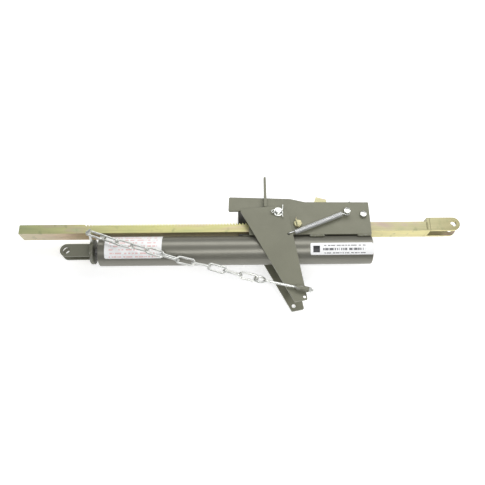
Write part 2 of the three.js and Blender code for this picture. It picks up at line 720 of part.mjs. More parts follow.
function addChain() {
  const firstWire = new THREE.Vector2(
    fingerStart - linkWire - 1.6,
    chainHeight / Math.tan(fingerAngle) + 1.8,
  );
  const eyeContact = new THREE.Vector2(eyeCentre.x - eyeInnerRadius + linkWire + 1.3, eyeCentre.y + 1.4);
  const { headings, starts, spacing } = chainLay(firstWire, eyeContact.clone().sub(firstWire));
  const innerLength = spacing + linkPlay;
  const linkSolid = solid(chainLinkGeometry(innerLength, linkInnerWidth, linkWire));
  const toCentre = innerLength / 2 + linkWire;
  const heldRoll = fingerAngle - Math.PI / 2;
  const twist = THREE.MathUtils.degToRad(chainTwist);
  for (let i = 0; i < chainLinks; i += 1) {
    const link = addPiece(`chain_link_${String(i + 1).padStart(2, '0')}`, linkSolid, brightZinc);
    const heading = headings[i];
    link.position.set(
      starts[i].x + Math.cos(heading) * toCentre,
      starts[i].y + Math.sin(heading) * toCentre,
      chainHeight,
    );
    const roll = heldRoll + (twist * i) / (chainLinks - 1);
    link.rotation.set(roll + (i % 2) * (Math.PI / 2), 0, heading, 'ZYX');
  }
}

addSpringTube();
addHousing();
addGibScrew();
addBoltAndNut('spring_anchor', anchor, plateOuter + springLoopRoom, 0.2);
addBoltAndNut('rear_guide', rear, plateOuter + gap, 0.9);
const guideRadius = rear.y - barTop - 1.7;
const guideHalf = plateInner - gap;
addSleeve('rear_guide_spacer', rear, guideRadius, boltRadius + gap, -guideHalf, guideHalf, plainSteel);
addPawlSpring();
addLabel('label_long', longLabel);
addLabel('label_rear', rearLabel);
addRatchetBar();
addPlunger();
addChainFinger();
addLever();
addPivotPin();
addLiftTrain();
addPawl();
addEyeBolt();
addReturnSpring();
addChain();

// Row frame: origin at the middle of the bounding box's underside.
const bounds = new THREE.Box3().setFromObject(holdDown, true);
holdDown.position.set(
  -(bounds.min.x + bounds.max.x) / 2,
  -(bounds.min.y + bounds.max.y) / 2,
  -bounds.min.z,
);

export default holdDown;
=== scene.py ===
# Looks of the ratchet hold-down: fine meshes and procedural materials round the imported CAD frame.
# Sizes are in millimetres in the design frame, where the spring tube's axis is the X axis, and are
# moved onto the row frame, in metres, by the tube's own box.
import math

import bmesh
import bpy
from mathutils import Matrix, Vector, noise


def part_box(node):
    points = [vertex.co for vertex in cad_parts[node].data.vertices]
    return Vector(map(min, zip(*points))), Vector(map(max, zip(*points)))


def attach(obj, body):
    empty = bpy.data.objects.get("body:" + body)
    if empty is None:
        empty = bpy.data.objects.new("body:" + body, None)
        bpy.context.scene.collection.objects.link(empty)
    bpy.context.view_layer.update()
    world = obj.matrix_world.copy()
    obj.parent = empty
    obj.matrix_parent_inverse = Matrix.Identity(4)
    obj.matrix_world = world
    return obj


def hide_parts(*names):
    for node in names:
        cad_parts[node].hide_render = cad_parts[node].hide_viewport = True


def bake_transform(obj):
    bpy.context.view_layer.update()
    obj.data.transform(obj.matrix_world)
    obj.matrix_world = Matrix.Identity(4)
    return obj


MM = 0.001

# ---- camera ----
CAMERA_PLACE = (0.004, -0.4799, 1.2228)
CAMERA_TILT = 22.30
CAMERA_TURN = -0.24
CAMERA_ROLL = -0.31
CAMERA_LENS = 40.94


def linked(name, data):
    """A new object in the scene for some data."""
    made = bpy.data.objects.new(name, data)
    bpy.context.scene.collection.objects.link(made)
    return made


camera = linked("camera", bpy.data.cameras.new("camera"))
camera.data.sensor_width = 36
camera.data.lens = CAMERA_LENS
camera.data.clip_end = 20
camera.matrix_world = (
    Matrix.Translation(CAMERA_PLACE)
    @ Matrix.Rotation(math.radians(CAMERA_TURN), 4, "Z")
    @ Matrix.Rotation(math.radians(CAMERA_TILT), 4, "X")
    @ Matrix.Rotation(math.radians(CAMERA_ROLL), 4, "Z")
)
bpy.context.scene.camera = camera

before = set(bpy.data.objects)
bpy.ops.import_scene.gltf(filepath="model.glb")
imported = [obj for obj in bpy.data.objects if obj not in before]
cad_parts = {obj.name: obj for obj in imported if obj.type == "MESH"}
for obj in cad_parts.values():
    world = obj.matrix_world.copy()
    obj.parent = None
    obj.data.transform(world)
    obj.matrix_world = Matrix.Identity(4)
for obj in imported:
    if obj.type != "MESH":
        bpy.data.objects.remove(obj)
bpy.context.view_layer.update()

# ---- sizes of the design, in mm ----
GAP = 0.3
TUBE_RADIUS = 33.35
TUBE_BORE = 28.55
TUBE_START = -323.5
TUBE_END = 295.5

BAR_BOTTOM = 38.2
BAR_TOP = BAR_BOTTOM + 22.2
BAR_HALF = 19.05
BAR_START = -511
BAR_END = 427
FORK_TIP = BAR_END + 76
BAR_LENGTH = FORK_TIP - BAR_START
TOOTH_PITCH = 7
TOOTH_DEPTH = 4.6
TOOTH_LEAN = 1.6
TOOTH_LAND = 1.44
TEETH_START = -362
TEETH_COUNT = 93

PLATE_INNER = 21.5
PLATE_OUTER = 27.85
PLATE_BOTTOM = 27.2
LEVER_INNER = 36
LEVER_OUTER = 41
PAWL_HALF = 12
SIDES = (("near", 1), ("far", -1))
EDGES = (("low", -1), ("high", 1))

BOLT_RADIUS = 4.76
BOLT_HOLE = 5.06
PIN_RADIUS = 6.35
PIN_HOLE = 6.65
CROSS_HOLE = 4.3

PIVOT = Vector((84, 77, 0))
ANCHOR = Vector((241, 78.3, 0))
REAR = Vector((279.5, 74.5, 0))
GIB = Vector((128.5, 52.5, 0))
SPRING_HOLE = Vector((105.5, 23, 0))
SPACER = Vector((114, -82, 0))
LINK_ARM = Vector((-28, 24, 0))
LIFT_PIN = PIVOT + LINK_ARM
PAWL_PIN = ANCHOR + LINK_ARM
ENGAGED = 3.5
PAWL_TEETH = 5
PAWL_NOSE_TOOTH = 73
PAWL_TIP_ROOM = 0.9

FLANGE_START = -343
FLANGE_END = -335
FLANGE_RADIUS = 28.5
ROD_RADIUS = 9.5
PISTON_START = 188
PISTON_LENGTH = 14
CLEVIS_TIP = -413
CLEVIS_HOLE = -398.9

CHAIN_HEIGHT = 47.3
CHAIN_LINKS = 11
LINK_WIRE = 2.25
LINK_WIDTH = 9.2
LINK_PLAY = 0.5
CHAIN_SAG = 0.5
CHAIN_SWAY = 2
CHAIN_TWIST = math.radians(63)
FINGER_ANGLE = math.radians(60)
EYE = Vector((38.5, -86, CHAIN_HEIGHT))
EYE_RADIUS = 8.2
EYE_ROLL = math.radians(-40)
EYE_WIRE = 2.8
EYE_RING_WIRE = 2.6
BARREL = Vector((129.3, -106.8, CHAIN_HEIGHT))
BARREL_LENGTH = 28

tube_low, tube_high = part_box("spring_tube")
SHIFT = Vector((
    tube_low.x - TUBE_START * MM,
    (tube_low.y + tube_high.y) / 2,
    (tube_low.z + tube_high.z) / 2,
))
TO_ROW = Matrix.Translation(SHIFT) @ Matrix.Scale(MM, 4)
UPRIGHT = Matrix.Rotation(math.radians(-90), 4, "Y")  # carries +X to +Z


def row(x, y, z):
    """A point of the design, in mm, as a point of the row frame."""
    return tuple(TO_ROW @ Vector((x, y, z)))


# ---- materials ----
class Paint:
    """A node material under construction; each method adds one layer and returns its socket."""

    def __init__(self, name, metallic, roughness):
        self.material = bpy.data.materials.new(name)
        self.material.use_nodes = True
        self.tree = self.material.node_tree
        self.shader = self.tree.nodes["Principled BSDF"]
        self.feed(self.shader.inputs["Metallic"], metallic)
        self.feed(self.shader.inputs["Roughness"], roughness)
        self.place = self.node("ShaderNodeTexCoord").outputs["Object"]

    def node(self, kind, feeds=None, **settings):
        made = self.tree.nodes.new(kind)
        for key, value in settings.items():
            setattr(made, key, value)
        for key, value in (feeds or {}).items():
            self.feed(made.inputs[key], value)
        return made

    def join(self, source, target):
        self.tree.links.new(source, target)

    def feed(self, socket, value):
        """Sets a socket to a number or a colour, or links another socket to it."""
        if isinstance(value, (float, int)):
            socket.default_value = value
        elif isinstance(value, tuple):
            socket.default_value = (*value, 1)
        else:
            self.join(value, socket)

    def parts(self, vector):
        """The X, Y and Z of a vector socket."""
        return self.node("ShaderNodeSeparateXYZ", {"Vector": vector}).outputs

    def facing(self, axis):
        """One part of the face's own normal, before any bump."""
        return self.parts(self.node("ShaderNodeNewGeometry").outputs["True Normal"])[axis]

    def stretched(self, factors):
        mapping = self.node("ShaderNodeMapping", {"Vector": self.place})
        mapping.inputs["Scale"].default_value = factors
        return mapping.outputs["Vector"]

    def noise(self, scale, detail=3.0, stretch=(1, 1, 1), distortion=0.0):
        feeds = {"Scale": scale, "Detail": detail, "Distortion": distortion}
        return self.node("ShaderNodeTexNoise", {**feeds, "Vector": self.stretched(stretch)}).outputs["Fac"]

    def ramp(self, factor, stops):
        made = self.node("ShaderNodeValToRGB")
        elements = made.color_ramp.elements
        while len(elements) < len(stops):
            elements.new(0.5)
        for element, (position, color) in zip(elements, stops):
            element.position = position
            element.color = (*color, 1) if isinstance(color, tuple) else (color, color, color, 1)
        self.join(factor, made.inputs["Fac"])
        return made.outputs["Color"]

    def mix(self, factor, first, second, blend="MIX"):
        feeds = {"Factor": factor, "A": first, "B": second}
        return self.node("ShaderNodeMix", feeds, data_type="RGBA", blend_type=blend).outputs["Result"]

    def math(self, operation, *values):
        made = self.node("ShaderNodeMath", operation=operation)
        for socket, value in zip(made.inputs, values):
            self.feed(socket, value)
        return made.outputs["Value"]

    def color(self, socket):
        self.join(socket, self.shader.inputs["Base Color"])

    def roughness(self, factor, low, high):
        made = self.node("ShaderNodeMapRange", {"To Min": low, "To Max": high, "Value": factor})
        self.join(made.outputs["Result"], self.shader.inputs["Roughness"])

    def bump(self, height, strength, distance):
        made = self.node("ShaderNodeBump", {"Strength": strength, "Distance": distance, "Height": height})
        self.join(made.outputs["Normal"], self.shader.inputs["Normal"])

    def edge_wear(self):
        """1 on the bevels of a plate that lies square to Z, 0 on its faces and its cut sides."""
        return self.kept_between(1.0, self.math("ABSOLUTE", self.facing("Z")), 0.15, 0.97)

    def kept_between(self, mask, socket, low, high):
        """The mask where the socket lies between two values, and 0 elsewhere."""
        above = self.math("GREATER_THAN", socket, low)
        below = self.math("LESS_THAN", socket, high)
        return self.math("MULTIPLY", self.math("MULTIPLY", mask, above), below)


def painted(name, base, light, dark, metallic, roughness, worn, grain=1.0, painted_shade=False):
    """Sprayed paint: cloudy tone, orange peel, thin scratches and rubbed edges. grain scales the peel,
    the scratches and the rubbing; the last argument blackens the faces that look up with painted shade,
    for the housing's shaded inside."""
    paint = Paint(name, metallic, roughness)
    cloud = paint.ramp(paint.noise(14, 5), [(0.3, dark), (0.5, base), (0.72, light)])
    speck = paint.ramp(paint.noise(900, 2), [(0.35, 1 - 0.12 * grain), (0.6, 1.0)])
    toned = paint.mix(1.0, cloud, speck, "MULTIPLY")
    scratch = paint.ramp(paint.noise(34, 5, (0.12, 5, 5), 0.3), [(0.7, 0.0), (0.76, 0.16 * grain)])
    scratched = paint.mix(scratch, toned, worn)
    chips = paint.ramp(paint.noise(160, 4), [(0.5, 0.0), (0.62, 0.75 * grain)])
    rubbed = paint.math("MULTIPLY", paint.edge_wear(), chips)
    coloured = paint.mix(rubbed, scratched, worn)
    # painted shade: near-black patches on the faces that look up stand in for the shade between the plates
    if painted_shade:
        shade_patches = paint.ramp(paint.noise(40, 4), [(0.3, 0.86), (0.6, 1.0)])
        shade_mask = paint.math("MULTIPLY", paint.math("GREATER_THAN", paint.facing("Z"), 0.5), shade_patches)
        coloured = paint.mix(shade_mask, coloured, (0.022, 0.02, 0.016))
    paint.color(coloured)
    paint.roughness(paint.noise(45, 4), roughness - 0.09 * grain, roughness + 0.11 * grain)
    paint.bump(paint.noise(700, 2), 0.25 * grain, 0.00025)
    paint.feed(paint.shader.inputs["Coat Weight"], 0.12)
    paint.feed(paint.shader.inputs["Coat Roughness"], 0.35)
    return paint.material


def plated(name, stops, metallic, roughness, drawn, brushed=(0.02, 1, 1), depth=0.2, drift=None):
    """Zinc plating or bare steel: cloudy colours, drawn lines along one way and small stains. drift gives
    colours that the whole object's plating takes from one end to the other."""
    paint = Paint(name, metallic, roughness)
    cloud = paint.ramp(paint.noise(11, 4, (0.55, 1.6, 1.6), 1.2), stops)
    if drift:
        share = paint.math("MULTIPLY_ADD", paint.parts(paint.place)["X"], 1 / (BAR_LENGTH * MM), 0.5)
        cloud = paint.mix(0.55, cloud, paint.ramp(share, drift))
        # painted shade and light: the face towards the tube is darkened where the tube shades it and pale
        # beyond the tube's end
        front = paint.math("LESS_THAN", paint.facing("Y"), -0.6)
        cloud = paint.mix(paint.math("MULTIPLY", front, 0.74), cloud, paint.ramp(share, FRONT_TINT_SHADE_AND_LIGHT))
    lines = paint.noise(drawn, 3, brushed)
    lined = paint.mix(1.0, cloud, paint.ramp(lines, [(0.3, 0.84), (0.65, 1.0)]), "MULTIPLY")
    stain = paint.ramp(paint.noise(70, 6), [(0.6, 0.0), (0.72, 0.4)])
    paint.color(paint.mix(stain, lined, tuple(0.55 * c for c in stops[0][1])))
    paint.roughness(paint.noise(120, 4, (0.2, 1, 1)), roughness - 0.07, roughness + 0.12)
    paint.bump(lines, depth, 0.00012)
    return paint.material


def printed(name, ink, rows, row_pitch, word_scale, bold=None, block=None):
    """White vinyl with rows of plain bars in place of print, one of them bold. The UV map is in mm: along,
    then across."""
    paint = Paint(name, 0.0, 0.42)
    parts = paint.parts(paint.node("ShaderNodeUVMap").outputs["UV"])
    along, across = parts["X"], parts["Y"]
    cells = paint.math("DIVIDE", across, row_pitch)
    line = paint.math("FLOOR", cells)
    within = paint.math("FRACT", cells)
    offset = paint.math("ABSOLUTE", paint.math("SUBTRACT", within, 0.5))
    half_height = 0.2
    if bold is not None:
        half_height = paint.math("MULTIPLY_ADD", paint.math("COMPARE", line, float(bold), 0.5), 0.18, 0.12)
    band = paint.math("LESS_THAN", offset, half_height)
    spot = paint.node("ShaderNodeCombineXYZ", {"X": along, "Y": paint.math("MULTIPLY", line, 37.0)})
    feeds = {"Scale": word_scale, "Detail": 1.5, "Vector": spot.outputs["Vector"]}
    words = paint.node("ShaderNodeTexNoise", feeds)
    bars = paint.math("MULTIPLY", band, paint.math("GREATER_THAN", words.outputs["Fac"], 0.47))
    first, last, start, end = rows
    bars = paint.kept_between(bars, line, first - 0.5, last + 0.5)
    bars = paint.kept_between(bars, along, start, end)
    tone = paint.ramp(paint.noise(60, 4), [(0.3, (0.94, 0.94, 0.93)), (0.7, (0.98, 0.98, 0.98))])
    inked = paint.mix(bars, tone, ink)
    if block:
        inside = paint.kept_between(1.0, along, *block[0])
        inside = paint.kept_between(inside, across, *block[1])
        inked = paint.mix(inside, inked, (0.02, 0.02, 0.022))
    paint.color(inked)
    paint.roughness(paint.noise(90, 3), 0.34, 0.5)
    paint.bump(paint.noise(260, 3), 0.08, 0.0002)
    return paint.material


GREY_TONES = ((0.205, 0.204, 0.145), (0.219, 0.216, 0.156), (0.192, 0.19, 0.135))
GREY_WORN = (0.3, 0.3, 0.26)
GREY_PAINT = painted("grey_paint", *GREY_TONES, 0.15, 0.5, GREY_WORN)
# the same grey with painted shade: its faces that look up are blackened
SHADE_PAINTED_GREY = painted("shade_painted_grey", *GREY_TONES, 0.15, 0.5, GREY_WORN, painted_shade=True)
# painted shade: a darker copy of the grey paint for the flange and the clevis at the tube's left end
SHADED_PLUNGER_TONES = ((0.158, 0.157, 0.112), (0.17, 0.168, 0.121), (0.147, 0.146, 0.103))
SHADED_PLUNGER_GREY = painted("shaded_plunger_grey", *SHADED_PLUNGER_TONES, 0.15, 0.5, (0.26, 0.26, 0.22))
TUBE_PAINT = painted("tube_paint", (0.208, 0.202, 0.166), (0.218, 0.212, 0.175), (0.199, 0.193, 0.158),
                     0.42, 0.36, (0.25, 0.25, 0.23), 0.1)
# the bar's long side towards the tube: pink, then dark brown where it runs over the tube, a brown tone
# darkened as painted shade of the tube, then pale as painted light beyond the tube's end
FRONT_TINT_SHADE_AND_LIGHT = [
    (0.0, (0.6, 0.52, 0.38)), (0.1, (0.64, 0.45, 0.33)), (0.15, (0.42, 0.26, 0.12)),
    (0.2, (0.26, 0.19, 0.09)), (0.77, (0.26, 0.19, 0.09)), (0.8, (0.97, 0.87, 0.4)),
    (1.0, (0.97, 0.88, 0.42)),
]
YELLOW_ZINC = plated("yellow_zinc", [
    (0.25, (0.36, 0.43, 0.22)), (0.42, (0.56, 0.55, 0.24)), (0.5, (0.62, 0.58, 0.27)),
    (0.58, (0.6, 0.44, 0.36)), (0.66, (0.42, 0.5, 0.32)), (0.75, (0.52, 0.5, 0.26)),
], 0.5, 0.36, 420, drift=[
    (0.0, (0.42, 0.48, 0.27)), (0.12, (0.52, 0.54, 0.27)), (0.3, (0.62, 0.6, 0.25)),
    (0.5, (0.58, 0.55, 0.26)), (0.62, (0.54, 0.49, 0.36)), (0.74, (0.28, 0.25, 0.19)),
    (0.88, (0.33, 0.3, 0.235)), (1.0, (0.15, 0.115, 0.09)),
])
BRIGHT_ZINC = plated("bright_zinc", [
    (0.3, (0.64, 0.65, 0.62)), (0.5, (0.76, 0.77, 0.73)), (0.7, (0.84, 0.84, 0.79)),
], 0.95, 0.27, 1500, (1, 1, 1), 0.03)
SPRING_STEEL = plated("spring_steel", [(0.3, (0.82, 0.83, 0.82)), (0.7, (0.92, 0.92, 0.91))],
                      0.85, 0.34, 1500, (1, 1, 1), 0.03)
PLAIN_STEEL = plated("plain_steel", [(0.3, (0.14, 0.14, 0.135)), (0.7, (0.24, 0.235, 0.225))],
                     0.8, 0.48, 350, (1, 1, 1), 0.3)
LONG_LABEL_PRINT = printed("label_long_print", (0.86, 0.6, 0.58), (0, 7, 10, 118), 8.2, 0.16)
REAR_LABEL_PRINT = printed("label_rear_print", (0.12, 0.12, 0.13), (0, 2, 28, 124), 8.6, 0.22,
                           bold=1, block=((6, 21), (6, 21)))


# ---- mesh makers: outlines and points are in mm, the made mesh is in the row frame ----
def rounded(corners, steps=8):
    """A closed outline as points; a corner (x, y, radius) becomes an arc."""
    points = []
    count = len(corners)
    for index, corner in enumerate(corners):
        here = Vector(corner[:2])
        radius = corner[2] if len(corner) > 2 else 0
        if not radius:
            points.append(here)
            continue
        before = (Vector(corners[index - 1][:2]) - here).normalized()
        after = (Vector(corners[(index + 1) % count][:2]) - here).normalized()
        half = before.angle(after) / 2
        centre = here + (before + after).normalized() * radius / math.sin(half)
        start = here + before * radius / math.tan(half) - centre
        end = here + after * radius / math.tan(half) - centre
        first = math.atan2(start.y, start.x)
        sweep = (math.atan2(end.y, end.x) - first + math.pi) % math.tau - math.pi
        for step in range(steps + 1):
            angle = first + sweep * step / steps
            points.append(centre + Vector((math.cos(angle), math.sin(angle))) * radius)
    return points


def polar(centre, radius, angle):
    """The X and Y of a point at an angle and a distance from a centre."""
    return centre[0] + radius * math.cos(angle), centre[1] + radius * math.sin(angle)


def circle(centre, radius, steps=40):
    return [Vector(polar(centre, radius, math.tau * step / steps)) for step in range(steps)]


def strap(start, end, radius, steps=20):
    """The outline of a flat bar with round ends about two points."""
    heading = math.atan2(end.y - start.y, end.x - start.x)
    points = []
    for centre, first in ((start, heading + math.pi / 2), (end, heading - math.pi / 2)):
        points += [Vector(polar(centre, radius, first + math.pi * step / steps)) for step in range(steps + 1)]
    return points


def finished(name, builder, place=None):
    """Puts bmesh work, made in mm, into the row frame as an object with its faces turned outwards."""
    bmesh.ops.remove_doubles(builder, verts=builder.verts, dist=1e-4)
    bmesh.ops.recalc_face_normals(builder, faces=builder.faces)
    mesh = bpy.data.meshes.new(name)
    builder.to_mesh(mesh)
    builder.free()
    if place:
        mesh.transform(place)
    mesh.transform(TO_ROW)
    return linked(name, mesh)


def plate(name, loops, low, high, bevel=0.5, place=None):
    """A plate between two heights with softened edges; the first loop is its outline, the rest holes."""
    curve = bpy.data.curves.new(name, "CURVE")
    curve.dimensions = "2D"
    curve.fill_mode = "BOTH"
    curve.extrude = (high - low) / 2 - bevel
    curve.bevel_depth = bevel
    curve.bevel_resolution = 1
    curve.offset = -bevel
    for loop in loops:
        spline = curve.splines.new("POLY")
        spline.points.add(len(loop) - 1)
        for point, target in zip(loop, spline.points):
            target.co = (point[0], point[1], 0, 1)
        spline.use_cyclic_u = True
    holder = linked(name, curve)
    bpy.context.view_layer.update()
    mesh = bpy.data.meshes.new_from_object(holder)
    bpy.data.objects.remove(holder)
    bpy.data.curves.remove(curve)
    builder = bmesh.new()
    builder.from_mesh(mesh)
    bpy.data.meshes.remove(mesh)
    bmesh.ops.translate(builder, verts=builder.verts, vec=(0, 0, (low + high) / 2))
    return finished(name, builder, place)


def lathe(name, profile, place=None, segments=64, sides=None, thread=None):
    """Turns a closed profile of (along, radius) round the X axis. sides makes a polygon section of that
    many flats; thread is (start, end, pitch, depth) of a helical thread on the outermost radius."""
    builder = bmesh.new()
    rings = []
    outermost = max(radius for _, radius in profile)
    for along, radius in profile:
        if radius < 1e-6:
            rings.append([builder.verts.new((along, 0, 0))] * segments)
            continue
        ring = []
        for step in range(segments):
            angle = math.tau * step / segments
            reach = radius
            if sides:
                within = (angle % (math.tau / sides)) - math.pi / sides
                reach = min(radius, outermost * math.cos(math.pi / sides) / math.cos(within))
            if thread and thread[0] <= along <= thread[1] and radius > outermost - 0.01:
                phase = (along / thread[2] - angle / math.tau) % 1
                reach -= thread[3] * abs(2 * phase - 1)
            ring.append(builder.verts.new((along, reach * math.cos(angle), reach * math.sin(angle))))
        rings.append(ring)
    for index, ring in enumerate(rings):
        following = rings[(index + 1) % len(rings)]
        for step in range(segments):
            after = (step + 1) % segments
            corners = list(dict.fromkeys((ring[step], ring[after], following[after], following[step])))
            if len(corners) > 2:
                builder.faces.new(corners)
    return finished(name, builder, place)


def hexed(name, profile, place=None):
    return lathe(name, profile, place, 48, sides=6)


def slab(start, end, low, high, start_round, end_round, steps):
    """A rectangle's outline, with one radius for each of its two ends."""
    return rounded([
        (start, low, start_round), (end, low, end_round), (end, high, end_round), (start, high, start_round),
    ], steps)


def arc(x, y, z, radius, degrees, turn=0.0):
    """Points round (x, y) at one height, at the given degrees past a turn in radians."""
    return [(*polar((x, y), radius, turn + math.radians(d)), z) for d in degrees]


def ring_profile(start, end, outer, inner, soft=0.5):
    within = soft * 0.6
    corners = [(start, outer, soft), (end, outer, soft), (end, inner, within), (start, inner, within)]
    return rounded(corners, 3)


def rod_profile(start, end, radius, soft=0.5):
    return rounded([(start, 0), (start, radius, soft), (end, radius, soft), (end, 0)], 3)


def stepped(profile, pitch):
    """The profile with its long outer run cut into steps fine enough for a thread."""
    points = []
    for index, point in enumerate(profile):
        points.append(point)
        following = profile[(index + 1) % len(profile)]
        length = following[0] - point[0]
        if length > pitch and abs(following[1] - point[1]) < 1e-6:
            count = int(length / pitch * 8)
            points += [Vector((point[0] + length * step / count, point[1])) for step in range(1, count)]
    return points


def hexagon(across, share):
    """A hexagon's corner radius, the radius its chamfer starts from and the chamfer's 30 degree drop."""
    corner = across / math.sqrt(3)
    flat = across / 2 * share
    return corner, flat, (corner - flat) * math.tan(math.radians(30))


def hex_profile(start, end, across, bore=0.0):
    """A hexagon's section with chamfers at both ends, for lathe(sides=6)."""
    corner, flat, drop = hexagon(across, 0.97)
    outside = [(start, flat), (start + drop, corner), (end - drop, corner), (end, flat)]
    if bore:
        mouth = 0.6
        inside = [(end, bore + mouth), (end - mouth, bore), (start + mouth, bore), (start, bore + mouth)]
        return [Vector(p) for p in [*outside, *inside]]
    return [Vector(p) for p in [(start, 0), *outside, (end, 0)]]


def sweep(name, points, radii, sides=10, closed=False, place=None, flatten=1.0):
    """A round bar along points, with one radius or one each; flatten squashes it along its normal."""
    path = [Vector(point) for point in points]
    count = len(path)
    tangents = []
    for index in range(count):
        before = path[index - 1] if closed or index else path[index]
        after = path[(index + 1) % count] if closed or index < count - 1 else path[index]
        tangents.append((after - before).normalized())
    normal = tangents[0].orthogonal().normalized()
    builder = bmesh.new()
    rings = []
    for index in range(count):
        if index:
            normal = tangents[index - 1].rotation_difference(tangents[index]) @ normal
            normal = (normal - tangents[index] * normal.dot(tangents[index])).normalized()
        other = tangents[index].cross(normal)
        radius = radii[index] if isinstance(radii, list) else radii
        angles = [math.tau * step / sides for step in range(sides)]
        rings.append([builder.verts.new(
            path[index] + radius * (normal * math.cos(a) * flatten + other * math.sin(a))
        ) for a in angles])
    pairs = count if closed else count - 1
    for index in range(pairs):
        ring, following = rings[index], rings[(index + 1) % count]
        for step in range(sides):
            after = (step + 1) % sides
            builder.faces.new((ring[step], ring[after], following[after], following[step]))
    if not closed:
        builder.faces.new(rings[0][::-1])
        builder.faces.new(rings[-1])
    return finished(name, builder, place)


def smooth_path(points, steps=8):
    """Points along a smooth line through the given ones."""
    knots = [Vector(p) for p in points]
    knots = [knots[0] * 2 - knots[1], *knots, knots[-1] * 2 - knots[-2]]
    path = []
    for a, b, c, d in zip(knots, knots[1:], knots[2:], knots[3:]):
        for step in range(steps):
            t = step / steps
            bow = 2 * a - 5 * b + 4 * c - d
            twist = 3 * b - a - 3 * c + d
            path.append(0.5 * (2 * b + (c - a) * t + bow * t * t + twist * t ** 3))
    return [*path, knots[-2]]


def helix(start, end, radius, turns, per_turn=16):
    """Points of a coil about the line from start to end."""
    start, end = Vector(start), Vector(end)
    along = (end - start).normalized()
    side = along.orthogonal().normalized()
    other = along.cross(side)
    count = int(turns * per_turn)
    points = []
    for step in range(count + 1):
        angle = math.tau * step / per_turn
        middle = start.lerp(end, step / count)
        points.append(middle + radius * (side * math.cos(angle) + other * math.sin(angle)))
    return points


def weld(name, body, line, radius):
    """A straight, rippled weld bead with round ends, plated on the bar and painted elsewhere."""
    stride, pitch = 0.45, 2.6
    start, end = [Vector(p) for p in line]
    total = max(2, int((end - start).length / stride))
    points = [*[start.lerp(end, step / total) for step in range(total)], end]
    radii = []
    for index, point in enumerate(points):
        ripple = 0.86 + 0.14 * abs(math.sin(math.pi * (index * stride) / pitch))
        wander = 1 + 0.12 * noise.noise(point * 0.21)
        end_round = min(1.0, math.sqrt(min(index, total - index) * stride / radius + 0.06))
        radii.append(radius * ripple * wander * end_round)
    finish = yellow if body == "ratchet_bar" else grey
    finish(sweep(name, points, radii, 12, flatten=0.8), body)


def dress(piece, body, material, slot, *nodes, blend=None):
    """Gives a piece its material, puts it on its body (or bakes it in place when blend is given) and hides
    the CAD nodes it stands for; slot is not used.
    """
    piece.data.materials.clear()
    piece.data.materials.append(material)
    piece.data.polygons.foreach_set("use_smooth", [True] * len(piece.data.polygons))
    piece.data.set_sharp_from_angle(angle=math.radians(40))
    normals = piece.modifiers.new("weighted_normal", "WEIGHTED_NORMAL")
    normals.keep_sharp = True
    if blend:
        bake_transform(piece)
    else:
        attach(piece, body)
    if nodes:
        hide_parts(*nodes)


def grey(piece, body, *nodes):
    dress(piece, body, GREY_PAINT, "grey_paint", *nodes)


def yellow(piece, body, *nodes):
    dress(piece, body, YELLOW_ZINC, "yellow_zinc", *nodes)


def bright(piece, body, *nodes):
    dress(piece, body, BRIGHT_ZINC, "bright_zinc", *nodes)


def plain(piece, body, *nodes):
    dress(piece, body, PLAIN_STEEL, "plain_steel", *nodes)


def sprung(piece, node, first, second, start, end):
    """A spring between two bodies, baked in place and put on neither; start and end are the points they hold.
    """
    dress(piece, None, SPRING_STEEL, "spring_steel", node, blend=(first, second, row(*start), row(*end)))


def ring_weld(name, body, points, radius, swell, pitch):
    """A weld bead round a closed ring of points, rippled along its way."""
    radii = [radius + swell * abs(math.sin(math.pi * k / pitch)) for k in range(len(points))]
    grey(sweep(name, points, radii, 8, closed=True), body)


def upright_at(centre, turn=0.0):
    """Carries a turned piece's X axis to Z, at a place in the XY plane."""
    return Matrix.Translation((centre.x, centre.y, 0)) @ Matrix.Rotation(turn, 4, "Z") @ UPRIGHT


def sleeve(name, centre, outer, inner, low, high, soft=0.5):
    """A ring that stands upright at a place in the XY plane."""
    return lathe(name, ring_profile(low, high, outer, inner, soft), upright_at(centre), 56)


# ---- spring tube ----
def make_tube():
    lip = 1.1
    profile = rounded([
        (TUBE_START, TUBE_RADIUS - 0.3, 1.2), (TUBE_START + 2.5, TUBE_RADIUS), (TUBE_END - 2.5, TUBE_RADIUS),
        (TUBE_END, TUBE_RADIUS - 0.3, 1.2), (TUBE_END, TUBE_BORE + lip, 0.6), (TUBE_END - lip, TUBE_BORE),
        (TUBE_START + lip, TUBE_BORE), (TUBE_START, TUBE_BORE + lip, 0.6),
    ], 4)
    dress(lathe("tube", profile, segments=144), "housing", TUBE_PAINT, "tube_paint", "spring_tube")
    seat = TUBE_BORE - GAP
    guide_start = TUBE_START + 3
    guide = ring_profile(guide_start, guide_start + 12, seat, ROD_RADIUS + GAP, 0.8)
    plain(lathe("guide", guide, segments=96), "housing", "rod_guide")
    cap = ring_profile(TUBE_END - 9, TUBE_END - 2, seat, 5, 0.8)
    plain(lathe("end_cap", cap, segments=96), "housing", "tube_end_cap")
    ring = [(TUBE_END - 2.2, p.x, p.y) for p in circle((0, 0), TUBE_BORE - 1.5, 240)]
    ring_weld("end_cap_weld", "housing", ring, 1.6, 0.3, 3.4)


# ---- housing ----
PLATE_EDGE = [(295.5, PLATE_BOTTOM, 1.5), (294.7, 107, 2), (148, 108.6, 8), (113.6, 117.3, 8)]
NEAR_PLATE = [(17, PLATE_BOTTOM, 2), *PLATE_EDGE, (-28.5, 123, 3), (-30, 87.5, 3), (17, 87.5, 6)]
FAR_PLATE = [(-8, PLATE_BOTTOM, 2), *PLATE_EDGE, (-8, 122, 3)]


